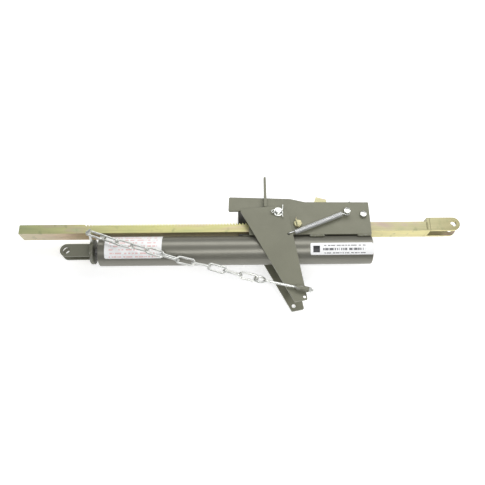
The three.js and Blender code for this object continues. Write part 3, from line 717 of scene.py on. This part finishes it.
def make_housing():
    holes = [circle(PIVOT, 6.6), circle(ANCHOR, BOLT_HOLE), circle(REAR, BOLT_HOLE)]
    near = plate("plate_near", [rounded(NEAR_PLATE), *holes, circle(GIB, 5.8)], PLATE_INNER, PLATE_OUTER, 0.6)
    grey(near, "housing", "side_plate_near")
    far = plate("plate_far", [rounded(FAR_PLATE), *holes], -PLATE_OUTER, -PLATE_INNER, 0.6)
    # painted shade: the far plate's inner face is blackened where the near plate shades it
    dress(far, "housing", SHADE_PAINTED_GREY, "grey_paint", "side_plate_far")
    strip_low, strip_half = 33.65, 9
    strip = plate("wear_strip", [slab(-6, 291.5, strip_low, 37.9, 0, 0, 1)], -strip_half, strip_half)
    plain(strip, "housing", "bar_wear_strip")
    seam_y = 24.3
    seam_z = PLATE_OUTER - 0.6
    for side, place in SIDES:
        for part, (start, end) in enumerate(((154, 189), (262, 294.6))):
            line = [(x, seam_y, place * seam_z) for x in (start, end)]
            weld(f"plate_{side}_weld_{part + 1}", "housing", line, 4.0)
    for part, (start, end) in enumerate(((2, 30), (130, 160), (258, 288))):
        for side, place in SIDES:
            line = [(x, strip_low - 0.25, place * (strip_half + 0.6)) for x in (start, end)]
            weld(f"wear_strip_{side}_weld_{part + 1}", "housing", line, 1.9)


def make_hex_bolt(name, centre, head_start, turn):
    """A hex bolt from the near side, with its nut on the far side."""
    across, height, step = 14.3, 6, 0.5
    corner, flat, drop = hexagon(across, 0.95)
    nut_top = -PLATE_OUTER - GAP
    nut_bottom = nut_top - height
    place = upright_at(centre, turn)
    head = [Vector((head_start + along, reach)) for along, reach in (
        (0, 0), (0, BOLT_RADIUS), (0, flat), (step, flat), (step, corner), (height - drop, corner),
        (height, flat), (height - step, flat * 0.72), (height - step, 0),
    )]
    bright(hexed(f"{name}_head", head, place), "housing", f"{name}_bolt")
    shank_end = nut_bottom - 1.5
    shank = stepped(rod_profile(shank_end, head_start + 0.2, BOLT_RADIUS, 0.7), 1.2)
    threaded = (shank_end + 0.9, shank_end + 14, 1.25, 0.6)
    bright(lathe(f"{name}_shank", shank, place, 32, thread=threaded), "housing")
    nut = hex_profile(nut_bottom, nut_top, across, BOLT_RADIUS + 0.05)
    bright(hexed(f"{name}_hex_nut", nut, upright_at(centre, turn + 0.3)), "housing", f"{name}_nut")


def make_gib_screw():
    start = PLATE_OUTER + GAP
    place = upright_at(GIB, 0.35)
    yellow(hexed("gib_screw_head", hex_profile(start, start + 6.5, 17), place), "housing", "side_gib_screw")
    shank = stepped(rod_profile(BAR_HALF + GAP, start + 0.3, 5.5, 0.6), 1.5)
    yellow(lathe("gib_screw_shank", shank, place, 40, thread=(BAR_HALF + 1.5, start, 1.75, 0.6)), "housing")
    bends = ((-1, -6, 7.2), (-3, 1, 8), (-4.2, 9, 7.6), (-3.4, 15.5, 5.6))
    leg = smooth_path([(GIB.x + dx, GIB.y + dy, start + dz) for dx, dy, dz in bends], 6)
    yellow(sweep("gib_lock_pin", leg, [1.5] * (len(leg) - 4) + [1.4, 1.3, 1.1, 0.8], 10), "housing")


def make_sleeves():
    half = PLATE_INNER - GAP
    guide_radius = REAR.y - BAR_TOP - 1.7
    plain(sleeve("rear_spacer", REAR, guide_radius, BOLT_HOLE, -half, half), "housing", "rear_guide_spacer")
    bush_radius, bush_bore = 8, 5.01
    bush = sleeve("bush", ANCHOR, bush_radius, bush_bore, -PAWL_HALF - 5, PAWL_HALF + 7)
    plain(bush, "housing", "pawl_bush")


def make_pawl_spring():
    """Torsion spring: a hook over the near plate's edge, a coil about the bush and a leg on the pawl."""
    low = PAWL_HALF + GAP
    wire = 1.2
    coil_radius = 11.2
    leg_x = ANCHOR.x + 10
    edge = 107.6
    hook = smooth_path([
        (leg_x, edge - 1.2, PLATE_OUTER + wire + 0.6), (leg_x, edge + wire + 0.3, PLATE_OUTER + 0.6),
        (leg_x, edge + wire + 0.6, PLATE_INNER + 3), (leg_x, edge + wire + 0.3, PLATE_INNER - 0.4),
        (leg_x, edge - 12, low + 4.6), (ANCHOR.x + coil_radius, ANCHOR.y + 6, low + 4.6),
    ])
    turns = 2.25
    count = int(turns * 24)
    coil = []
    for step in range(count + 1):
        angle = -math.tau * turns * step / count
        coil.append((*polar(ANCHOR, coil_radius, angle), low + 4.8 - 3.6 * step / count))
    end = Vector(coil[-1])
    knee, toe = (ANCHOR.x - 14, ANCHOR.y + 12.6, low + 1.4), (ANCHOR.x - 46, ANCHOR.y + 18, low + 1.5)
    leg = smooth_path([end, knee, toe])
    spring = sweep("pawl_torsion_spring", [*hook[:-1], *coil[:-1], *leg], wire, 10)
    held = [(ANCHOR.x + offset, ANCHOR.y + 12, low) for offset in (-20, 8)]
    sprung(spring, "pawl_spring", "pawl", "housing", *held)


def make_label(name, node, start, end, from_angle, to_angle, material):
    """A thin label bent round the tube; angle 0 is +Y and 90 is +Z."""
    inner, outer = TUBE_RADIUS + 0.12, TUBE_RADIUS + 0.6
    corner = 3.0
    columns, lines = 80, 48
    length = end - start
    width = math.radians(to_angle - from_angle) * outer
    builder = bmesh.new()
    uv = builder.loops.layers.uv.new("UVMap")
    grid = []
    for column in range(columns + 1):
        along = length * column / columns
        inset = 0.0
        near_end = min(along, length - along)
        if near_end < corner:
            inset = corner - math.sqrt(corner ** 2 - (corner - near_end) ** 2)
        strip = []
        for line in range(lines + 1):
            across = inset + (width - 2 * inset) * line / lines
            angle = math.radians(from_angle) + across / outer
            lift = 0.08 * noise.noise(Vector((along * 0.05, across * 0.08, len(name))))
            strip.append((along, across, angle, outer + lift - 0.1))
        grid.append(strip)

    def vertex(along, angle, radius):
        return builder.verts.new((start + along, *polar((0, 0), radius, angle)))

    top = [[vertex(along, angle, radius) for along, _, angle, radius in strip] for strip in grid]
    under = [[vertex(along, angle, inner) for along, _, angle, _ in strip] for strip in grid]

    def face(corners, places):
        made = builder.faces.new(corners)
        for loop, place in zip(made.loops, places):
            loop[uv].uv = (place[0], width - place[1])

    for column in range(columns):
        for line in range(lines):
            cells = [(column, line), (column + 1, line), (column + 1, line + 1), (column, line + 1)]
            places = [grid[c][l] for c, l in cells]
            face([top[c][l] for c, l in cells], places)
            face([under[c][l] for c, l in reversed(cells)], places[::-1])
    rim = [(c, 0) for c in range(columns)] + [(columns, l) for l in range(lines)]
    rim += [(c, lines) for c in range(columns, 0, -1)] + [(0, l) for l in range(lines, 0, -1)]
    for (c, l), (c2, l2) in zip(rim, [*rim[1:], rim[0]]):
        face([top[c][l], top[c2][l2], under[c2][l2], under[c][l]], [grid[c][l]] * 2 + [grid[c2][l2]] * 2)
    dress(finished(name, builder), "housing", material, "label_vinyl", node)


# ---- ratchet bar ----
def bar_outline():
    points = [(BAR_START, BAR_BOTTOM), (BAR_END, BAR_BOTTOM), (BAR_END, BAR_TOP)]
    for tooth in range(TEETH_COUNT - 1, -1, -1):
        root = TEETH_START + (tooth + 1) * TOOTH_PITCH
        points += [(root, BAR_TOP), (root - TOOTH_LEAN, BAR_TOP - TOOTH_DEPTH)]
        points.append((root - TOOTH_PITCH + TOOTH_LAND, BAR_TOP))
    points.append((BAR_START, BAR_TOP))
    return points


def make_ratchet_bar():
    yellow(plate("bar", [bar_outline()], -BAR_HALF, BAR_HALF, 0.25), "ratchet_bar", "ratchet_bar")
    base_start = BAR_END + GAP
    base_end = base_start + 6.5
    ear_start = base_end + GAP
    ear = 6
    top = BAR_BOTTOM + 32
    block = slab(base_start, base_end, BAR_BOTTOM, top, 0.6, 0.6, 3)
    yellow(plate("fork_end_plate", [block], -BAR_HALF, BAR_HALF), "ratchet_bar", "fork_base")
    outline = slab(ear_start, FORK_TIP, BAR_BOTTOM, top, 0.5, 15.99, 20)
    hole = circle((FORK_TIP - 15, (BAR_BOTTOM + top) / 2), 6.5)
    for side, low, high in (("near", BAR_HALF - ear, BAR_HALF), ("far", -BAR_HALF, ear - BAR_HALF)):
        yellow(plate(f"fork_{side}", [outline, hole], low, high, 0.55), "ratchet_bar", f"fork_ear_{side}")
    for side, place in SIDES:
        outside, inside = place * (BAR_HALF - 0.6), place * (BAR_HALF - ear - 0.4)
        line = [(base_start, BAR_BOTTOM + 1, outside), (base_start, BAR_TOP, outside)]
        weld(f"fork_weld_{side}", "ratchet_bar", line, 2.2)
        line = [(ear_start, BAR_BOTTOM + 2, inside), (ear_start, top - 2, inside)]
        weld(f"fork_ear_weld_{side}", "ratchet_bar", line, 2.0)
    line = [(base_start - 0.4, BAR_TOP + 0.6, z) for z in (-17, 17)]
    weld("fork_weld_top", "ratchet_bar", line, 2.4)


# ---- plunger ----
def make_plunger():
    disc = ring_profile(FLANGE_START, FLANGE_END, FLANGE_RADIUS, ROD_RADIUS - 1.7, 1.2)
    # painted shade: the flange takes the darker copy of the grey paint
    dress(lathe("flange", disc, segments=96), "plunger", SHADED_PLUNGER_GREY, "grey_paint", "plunger_flange")
    rod_start, rod_end = FLANGE_START + 1, 226
    spigot, thread_radius = 7.5, 7
    rod = rounded([
        (rod_start, 0), (rod_start, spigot, 0.5), (FLANGE_END + GAP, spigot),
        (FLANGE_END + GAP, ROD_RADIUS, 0.5), (PISTON_START, ROD_RADIUS, 0.8), (PISTON_START, thread_radius),
        (rod_end, thread_radius, 1.2), (rod_end, 0),
    ], 3)
    # painted shade: the rod is dark plain steel to stand in for the shade in the gap between the flange and
    # the tube
    plain(lathe("rod", rod, segments=56), "plunger", "plunger_rod")
    piston_radius = TUBE_BORE - 0.6
    bore = thread_radius + GAP
    piston_end = PISTON_START + PISTON_LENGTH
    disc = ring_profile(PISTON_START + GAP, piston_end, piston_radius, bore, 1.0)
    plain(lathe("piston_disc", disc, segments=96), "plunger", "piston")
    nut_start = piston_end + GAP
    nut = hex_profile(nut_start, nut_start + 15.7, 27.7, bore)
    bright(hexed("piston_hex_nut", nut), "plunger", "piston_nut")
    wire = 3.0
    start, end = TUBE_START + 15 + GAP + wire, PISTON_START - GAP - wire
    coil = helix((start, 0, 0), (end, 0, 0), piston_radius - 0.5 - wire, 38, 20)
    spring = sweep("compression_spring", coil, wire, 8)
    sprung(spring, "main_spring", "housing", "plunger", (start, 0, 0), (end, 0, 0))

    half = 15
    inner, outer = 7.15, 13.5
    seam = FLANGE_START - 1
    ear = slab(CLEVIS_TIP, FLANGE_START - GAP, -half, half, 14.99, 0.5, 20)
    hole = circle((CLEVIS_HOLE, 0), 8.4)
    for side, place in SIDES:
        low, high = sorted((place * inner, place * outer))
        cheek = plate(f"clevis_{side}", [ear, hole], low, high, 0.6)
        # painted shade: the clevis cheeks take the darker copy of the grey paint
        dress(cheek, "plunger", SHADED_PLUNGER_GREY, "grey_paint", f"rod_clevis_ear_{side}")
        line = [(seam, y, place * (outer + 0.2)) for y in (-13, 13)]
        weld(f"clevis_weld_{side}", "plunger", line, 2.0)
        for edge, way in EDGES:
            short = [(seam, way * (half + 0.2), place * z) for z in (inner, outer)]
            weld(f"clevis_weld_{side}_{edge}", "plunger", short, 1.9)


def make_chain_finger():
    root, neck, tip = FLANGE_RADIUS + GAP, 57.6, 61
    outline = rounded([
        (root, -3, 0.4), (neck, -3), (neck, -7, 0.8), (tip, -7, 1.2),
        (tip, 7, 1.2), (neck, 7, 0.8), (neck, 3), (root, 3, 0.4),
    ], 4)
    spin = Matrix.Rotation(FINGER_ANGLE, 4, "X")
    # the outline's X runs radially and its Y runs round the flange
    place = spin @ Matrix(((0, 0, 1, 0), (1, 0, 0, 0), (0, 1, 0, 0), (0, 0, 0, 1)))
    start = FLANGE_START + 1
    bright(plate("finger", [outline], start, start + 5.5, 0.6, place), "plunger", "chain_finger")
    for edge, way in EDGES:
        line = [spin @ Vector((start + along, root + 0.2, way * 3)) for along in (0.5, 5)]
        weld(f"finger_weld_{edge}", "plunger", line, 1.6)


# ---- lever ----
LEVER = [
    (-3.5, 83, 5), (112.5, -135, 3), (140.3, -129.7, 3), (118, 8, 60),
    (107, 66, 30), (98, 91.5, 12), (62, 91.5, 8), (3, 85.8, 5),
]


def make_lever():
    pivot_hole = circle(PIVOT, PIN_HOLE)
    near_tip_hole, far_tip_hole = circle((134, -123.5), 3.2, 28), circle((117, -122), 4.8, 32)
    near_holes = [pivot_hole, circle(SPRING_HOLE, 2.6, 24), near_tip_hole]
    far_holes = [pivot_hole, far_tip_hole]
    outline = rounded(LEVER, 10)
    near = plate("lever_near", [outline, *near_holes], LEVER_INNER, LEVER_OUTER, 0.55)
    grey(near, "lever", "lever_plate_near")
    far = plate("lever_far", [outline, *far_holes], -LEVER_OUTER, -LEVER_INNER, 0.55)
    grey(far, "lever", "lever_plate_far")
    half = LEVER_INNER - GAP
    grey(sleeve("spacer", SPACER, 7, 3, -half, half), "lever", "lever_spacer")
    for side, place in SIDES:
        ring = [(p.x, p.y, place * (LEVER_INNER - 0.9)) for p in circle(SPACER, 7.4, 60)]
        ring_weld(f"spacer_weld_{side}", "lever", ring, 1.25, 0.25, 5)
    trip = rounded([(52, 91.2), (58.6, 91.2), (58, 168, 1), (52.6, 168, 1)], 4)
    grey(plate("trip", [trip], PLATE_OUTER + 1.5, LEVER_OUTER + 1, 0.6), "lever", "trip_arm")
    weld("trip_weld", "lever", [(x, 91.3, LEVER_OUTER - 3) for x in (51.8, 59)], 1.8)


def make_pivot_pin():
    head_top = -LEVER_OUTER - GAP
    head_start = head_top - 3.5
    pin_end = LEVER_OUTER + 8.5
    cotter = LEVER_OUTER + 5
    profile = rounded([
        (head_start, 0), (head_start, 10, 1.4), (head_top, 10, 0.5),
        (head_top, PIN_RADIUS), (pin_end, PIN_RADIUS, 1.3), (pin_end, 0),
    ], 4)
    pin = lathe("pivot_pin", profile, upright_at(PIVOT))
    drill = lathe("drill", rod_profile(-12, 12, 1.9, 0.1), Matrix.Translation((PIVOT.x, PIVOT.y, cotter)), 24)
    cut = pin.modifiers.new("cross_hole", "BOOLEAN")
    cut.operation = "DIFFERENCE"
    cut.solver = "EXACT"
    cut.object = drill
    bpy.context.view_layer.update()
    drilled = bpy.data.meshes.new_from_object(pin.evaluated_get(bpy.context.evaluated_depsgraph_get()))
    pin.modifiers.clear()
    pin.data = drilled
    bpy.data.objects.remove(drill)
    bright(pin, "lever", "lever_pivot_pin")
    low = LEVER_OUTER + GAP
    bright(sleeve("washer", PIVOT, 11, PIN_HOLE, low, low + 2), "lever", "pivot_washer")

    x, y = PIVOT.x, PIVOT.y
    upper = ((10.8, 16.5), (10.2, 11), (9.6, 5), (8, 1.3), (5, 0.85), (-7, 0.85))
    lower = ((-7, -0.85), (5, -0.85), (8, -1.3), (8.8, -5), (9.2, -10), (9.6, -14))
    first, last = [smooth_path([(x + dx, y + dy, cotter) for dx, dy in leg], 6) for leg in (upper, lower)]
    eye = arc(x - 12.4, y, cotter, 3.2, range(35, 326, 18))
    path = [Vector(p) for p in [*first, *eye, *last]]
    # the legs are thinner where they pass side by side through the pin
    radii = [0.8 if x - 9 < p.x < x + 7 and abs(p.y - y) < 1.2 else 1.15 for p in path]
    bright(sweep("split_pin", path, radii, 10), "lever", "cotter_pin")


def make_lift_train():
    loops = [strap(PIVOT, LIFT_PIN, 9.5), circle(PIVOT, PIN_HOLE), circle(LIFT_PIN, CROSS_HOLE)]
    grey(plate("lift_arm_bar", loops, -PAWL_HALF, PAWL_HALF, 0.6), "lever", "lift_arm")
    grey(sleeve("lift_arm_hub", PIVOT, 12, PIN_HOLE, 0.05 - PAWL_HALF, PAWL_HALF + 5, 0.6), "lever")
    link_high = -PAWL_HALF - GAP
    link_low = link_high - 5
    pin = rod_profile(link_low - 1.5, PAWL_HALF + 1.5, 4, 0.7)
    bright(lathe("lift_cross_pin", pin, upright_at(LIFT_PIN), 40), "lever", "lift_pin")
    bright(lathe("pawl_cross_pin", pin, upright_at(PAWL_PIN), 40), "pawl", "pawl_link_pin")
    loops = [strap(LIFT_PIN, PAWL_PIN, 8), circle(LIFT_PIN, 4.25), circle(PAWL_PIN, 4.25)]
    grey(plate("push_bar", loops, link_low, link_high), "push_link", "push_link")


def pawl_outline():
    """The pawl's teeth drawn in full mesh with the bar, then the whole turned back to rest."""
    nose = TEETH_START + PAWL_NOSE_TOOTH * TOOTH_PITCH
    clearance = 0.45
    floor = BAR_TOP + clearance
    points = [(nose, floor)]
    for tooth in range(PAWL_TEETH):
        root = nose + (tooth + 1) * TOOTH_PITCH
        points.append((root - TOOTH_PITCH + TOOTH_LAND + clearance, floor))
        points.append((root - TOOTH_LEAN - clearance, floor - TOOTH_DEPTH + PAWL_TIP_ROOM))
        points.append((root - clearance, floor))
    points += [(nose + PAWL_TEETH * TOOTH_PITCH + 4, floor), (ANCHOR.x + 2, ANCHOR.y - 13.5)]
    first, last = -math.pi / 2 + 0.15, math.pi / 2 - 0.4
    for step in range(21):
        angle = first + (last - first) * step / 20
        points.append(polar(ANCHOR, 13.6, angle))
    points += [(226, 101), (214, 109.5), (198.5, 111), (197.3, 120.6)]
    points += [(172.6, 125.6), (169.1, 110.7), (nose, 80)]
    spin = Matrix.Rotation(math.radians(-ENGAGED), 2)
    return [ANCHOR.xy + spin @ (Vector(point) - ANCHOR.xy) for point in points]


def make_pawl():
    loops = [pawl_outline(), circle(ANCHOR, 8.3), circle(PAWL_PIN, CROSS_HOLE)]
    yellow(plate("pawl_body", loops, -PAWL_HALF, PAWL_HALF), "pawl", "pawl")


# ---- eye bolt, return spring and chain ----
def make_eye_bolt():
    run = BARREL - EYE
    reach = run.length
    place = Matrix.Translation(EYE) @ Matrix.Rotation(math.atan2(run.y, run.x), 4, "Z")
    ring = EYE_RADIUS + EYE_WIRE
    eye = arc(0, 0, 0, ring, range(14, 350, 8))
    neck = smooth_path([eye[-1], (ring + 1.6, -1.6, 0), (ring + 5, 0, 0), (ring + 12, 0, 0)], 6)
    rolled = place @ Matrix.Rotation(EYE_ROLL, 4, "X")
    bright(sweep("eye_bolt_eye", [*eye[:-1], *neck], EYE_RING_WIRE, 14, place=rolled), "lever", "eye_bolt")
    shank_end = reach + BARREL_LENGTH / 2 + 10
    shank = stepped(rod_profile(ring + 10, shank_end, EYE_WIRE, 0.5), 0.9)
    start, end = reach - BARREL_LENGTH / 2, reach + BARREL_LENGTH / 2
    thread = (start - 4, shank_end - 0.6, 1.0, 0.45)
    bright(lathe("eye_bolt_shank", shank, place, 28, thread=thread), "lever")
    barrel = ring_profile(start, end, 6, EYE_WIRE + GAP, 0.6)
    grey(lathe("barrel", barrel, place, 56), "lever", "eye_bolt_barrel")
    nut = hex_profile(end + GAP, end + 6, 10.7, EYE_WIRE + 0.05)
    bright(hexed("eye_bolt_hex_nut", nut, place), "lever", "eye_bolt_nut")
    for edge, way in EDGES:
        line = [place @ Vector((along, way * 4.2, -4.6)) for along in (start + 2, end - 2)]
        weld(f"barrel_weld_{edge}", "lever", line, 1.8)


def make_return_spring():
    height = PLATE_OUTER + 6.9
    start, end = Vector((121.5, 29.8, height)), Vector((229.5, 73.7, height))
    wire = 1.05
    radius = 6.2 - wire
    turns = int((end - start).length / (wire * 2.06))
    coil = helix(start, end, radius, turns, 14)
    loop_radius = BOLT_RADIUS + GAP + wire + 0.6
    along = (end - start).normalized()
    hook = smooth_path([
        (SPRING_HOLE.x, SPRING_HOLE.y, LEVER_INNER - 0.6),
        (SPRING_HOLE.x - 0.4, SPRING_HOLE.y - 0.2, LEVER_OUTER + 0.6),
        (SPRING_HOLE.x + 3, SPRING_HOLE.y + 1.2, LEVER_OUTER + 3.2),
        (start.x - 4, start.y - 1.6, height + 7.0),
        start + along * -1.2 + Vector((0, 0, 3.4)),
        coil[0],
    ], 8)
    back = math.atan2(-along.y, -along.x)
    loop = arc(ANCHOR.x, ANCHOR.y, height, loop_radius, range(20, 331, 12), back)
    tail = smooth_path([coil[-1], end + along * 1.4 + Vector((-along.y, along.x, 0)) * 2.2, loop[0]], 6)
    path = [*hook[:-1], *coil[:-1], *tail[:-1], *loop]
    spring = sweep("extension_spring", path, wire, 8)
    held = [(point.x, point.y, height) for point in (SPRING_HOLE, end)]
    sprung(spring, "return_spring", "lever", "housing", *held)


def chain_lay():
    """Each link's start and heading along a slack line, and the links' inner length."""
    first = Vector((FLANGE_START + 1 - LINK_WIRE - 1.6, CHAIN_HEIGHT / math.tan(FINGER_ANGLE) + 1.8))
    last = Vector((EYE.x - EYE_RADIUS + LINK_WIRE + 1.3, EYE.y + 1.4))
    span = last - first
    headings = []
    for index in range(CHAIN_LINKS):
        held = index in (0, CHAIN_LINKS - 1)
        sway = 0 if held else CHAIN_SWAY * (-1 if index % 4 < 2 else 1)
        headings.append(math.radians((index - (CHAIN_LINKS - 1) / 2) * CHAIN_SAG + sway))
    total = sum((Vector(polar((0, 0), 1, h)) for h in headings), Vector((0, 0)))
    spacing = (span.length - LINK_WIRE * 2 - LINK_PLAY) / total.length
    base = math.atan2(span.y, span.x) - math.atan2(total.y, total.x)
    links = []
    start = first
    for heading in headings:
        links.append((start, base + heading))
        start = start + Vector(polar((0, 0), 1, base + heading)) * spacing
    return links, spacing + LINK_PLAY


def make_chain():
    links, inner = chain_lay()
    bend = LINK_WIDTH / 2 + LINK_WIRE
    straight = inner + LINK_WIRE * 2 - bend * 2
    path, radii = [], []
    for side in (1, -1):
        for step in range(-10, 11):
            angle = math.pi / 2 * step / 10
            path.append((side * (straight / 2 + bend * math.cos(angle)), side * bend * math.sin(angle), 0))
            radii.append(LINK_WIRE)
        for step in range(1, 12):
            share = step / 12
            path.append((side * straight * (0.5 - share), side * bend, 0))
            swell = math.exp(-((share - 0.5) / 0.09) ** 2) if side > 0 else 0
            radii.append(LINK_WIRE * (1 + 0.14 * swell))
    held_roll = FINGER_ANGLE - math.pi / 2
    for index, (start, heading) in enumerate(links):
        roll = held_roll + CHAIN_TWIST * index / (CHAIN_LINKS - 1) + (index % 2) * math.pi / 2
        place = (
            Matrix.Translation((start.x, start.y, CHAIN_HEIGHT))
            @ Matrix.Rotation(heading, 4, "Z")
            @ Matrix.Translation((inner / 2 + LINK_WIRE, 0, 0))
            @ Matrix.Rotation(roll, 4, "X")
        )
        piece = sweep(f"link_{index + 1:02d}", path, radii, 12, closed=True, place=place)
        bright(piece, "chain", f"chain_link_{index + 1:02d}")


make_tube()
make_housing()
make_gib_screw()
make_hex_bolt("spring_anchor", ANCHOR, PLATE_OUTER + 11.4, 0.2)
make_hex_bolt("rear_guide", REAR, PLATE_OUTER + GAP, 0.9)
make_sleeves()
make_pawl_spring()
make_label("long_label", "label_long", -307.5, -179.3, 12, 139, LONG_LABEL_PRINT)
make_label("rear_label", "label_rear", 154, 295, 84, 131, REAR_LABEL_PRINT)
make_ratchet_bar()
make_plunger()
make_chain_finger()
make_lever()
make_pivot_pin()
make_lift_train()
make_pawl()
make_eye_bolt()
make_return_spring()
make_chain()


# ---- floor and light ----
def make_stage():
    bpy.context.scene.view_settings.view_transform = "Standard"
    builder = bmesh.new()
    bmesh.ops.create_grid(builder, x_segments=4, y_segments=4, size=4)
    mesh = bpy.data.meshes.new("floor")
    builder.to_mesh(mesh)
    builder.free()
    floor = linked("floor", mesh)
    floor.location.z = -0.5 * MM
    ground = Paint("floor", 0.0, 0.7)
    ground.color(ground.ramp(ground.noise(3, 2), [(0.3, (0.9, 0.9, 0.9)), (0.7, (0.92, 0.92, 0.92))]))
    ground.feed(ground.shader.inputs["Emission Color"], (1, 1, 1))
    ground.feed(ground.shader.inputs["Emission Strength"], 0.5)
    mesh.materials.append(ground.material)

    world = bpy.data.worlds.new("studio")
    bpy.context.scene.world = world
    world.use_nodes = True
    sky = world.node_tree.nodes["Background"].inputs
    sky["Color"].default_value = (0.93, 0.96, 1, 1)
    sky["Strength"].default_value = 0.24
    lamps = (
        ("key", (0.25, -0.85, 1.75), (1.7, 0.6), 17),
        ("back", (0.2, 1.1, 1.5), (2.6, 0.8), 23),
        ("right", (1.7, 0.3, 1.0), (0.6, 0.9), 3),
    )
    for name, place, size, power in lamps:
        lamp = bpy.data.lights.new(name, "AREA")
        lamp.shape = "RECTANGLE"
        lamp.size, lamp.size_y = size
        lamp.energy = power
        holder = linked(name, lamp)
        holder.location = place
        holder.rotation_euler = (-Vector(place)).to_track_quat("-Z", "Y").to_euler()


make_stage()

bpy.context.view_layer.update()
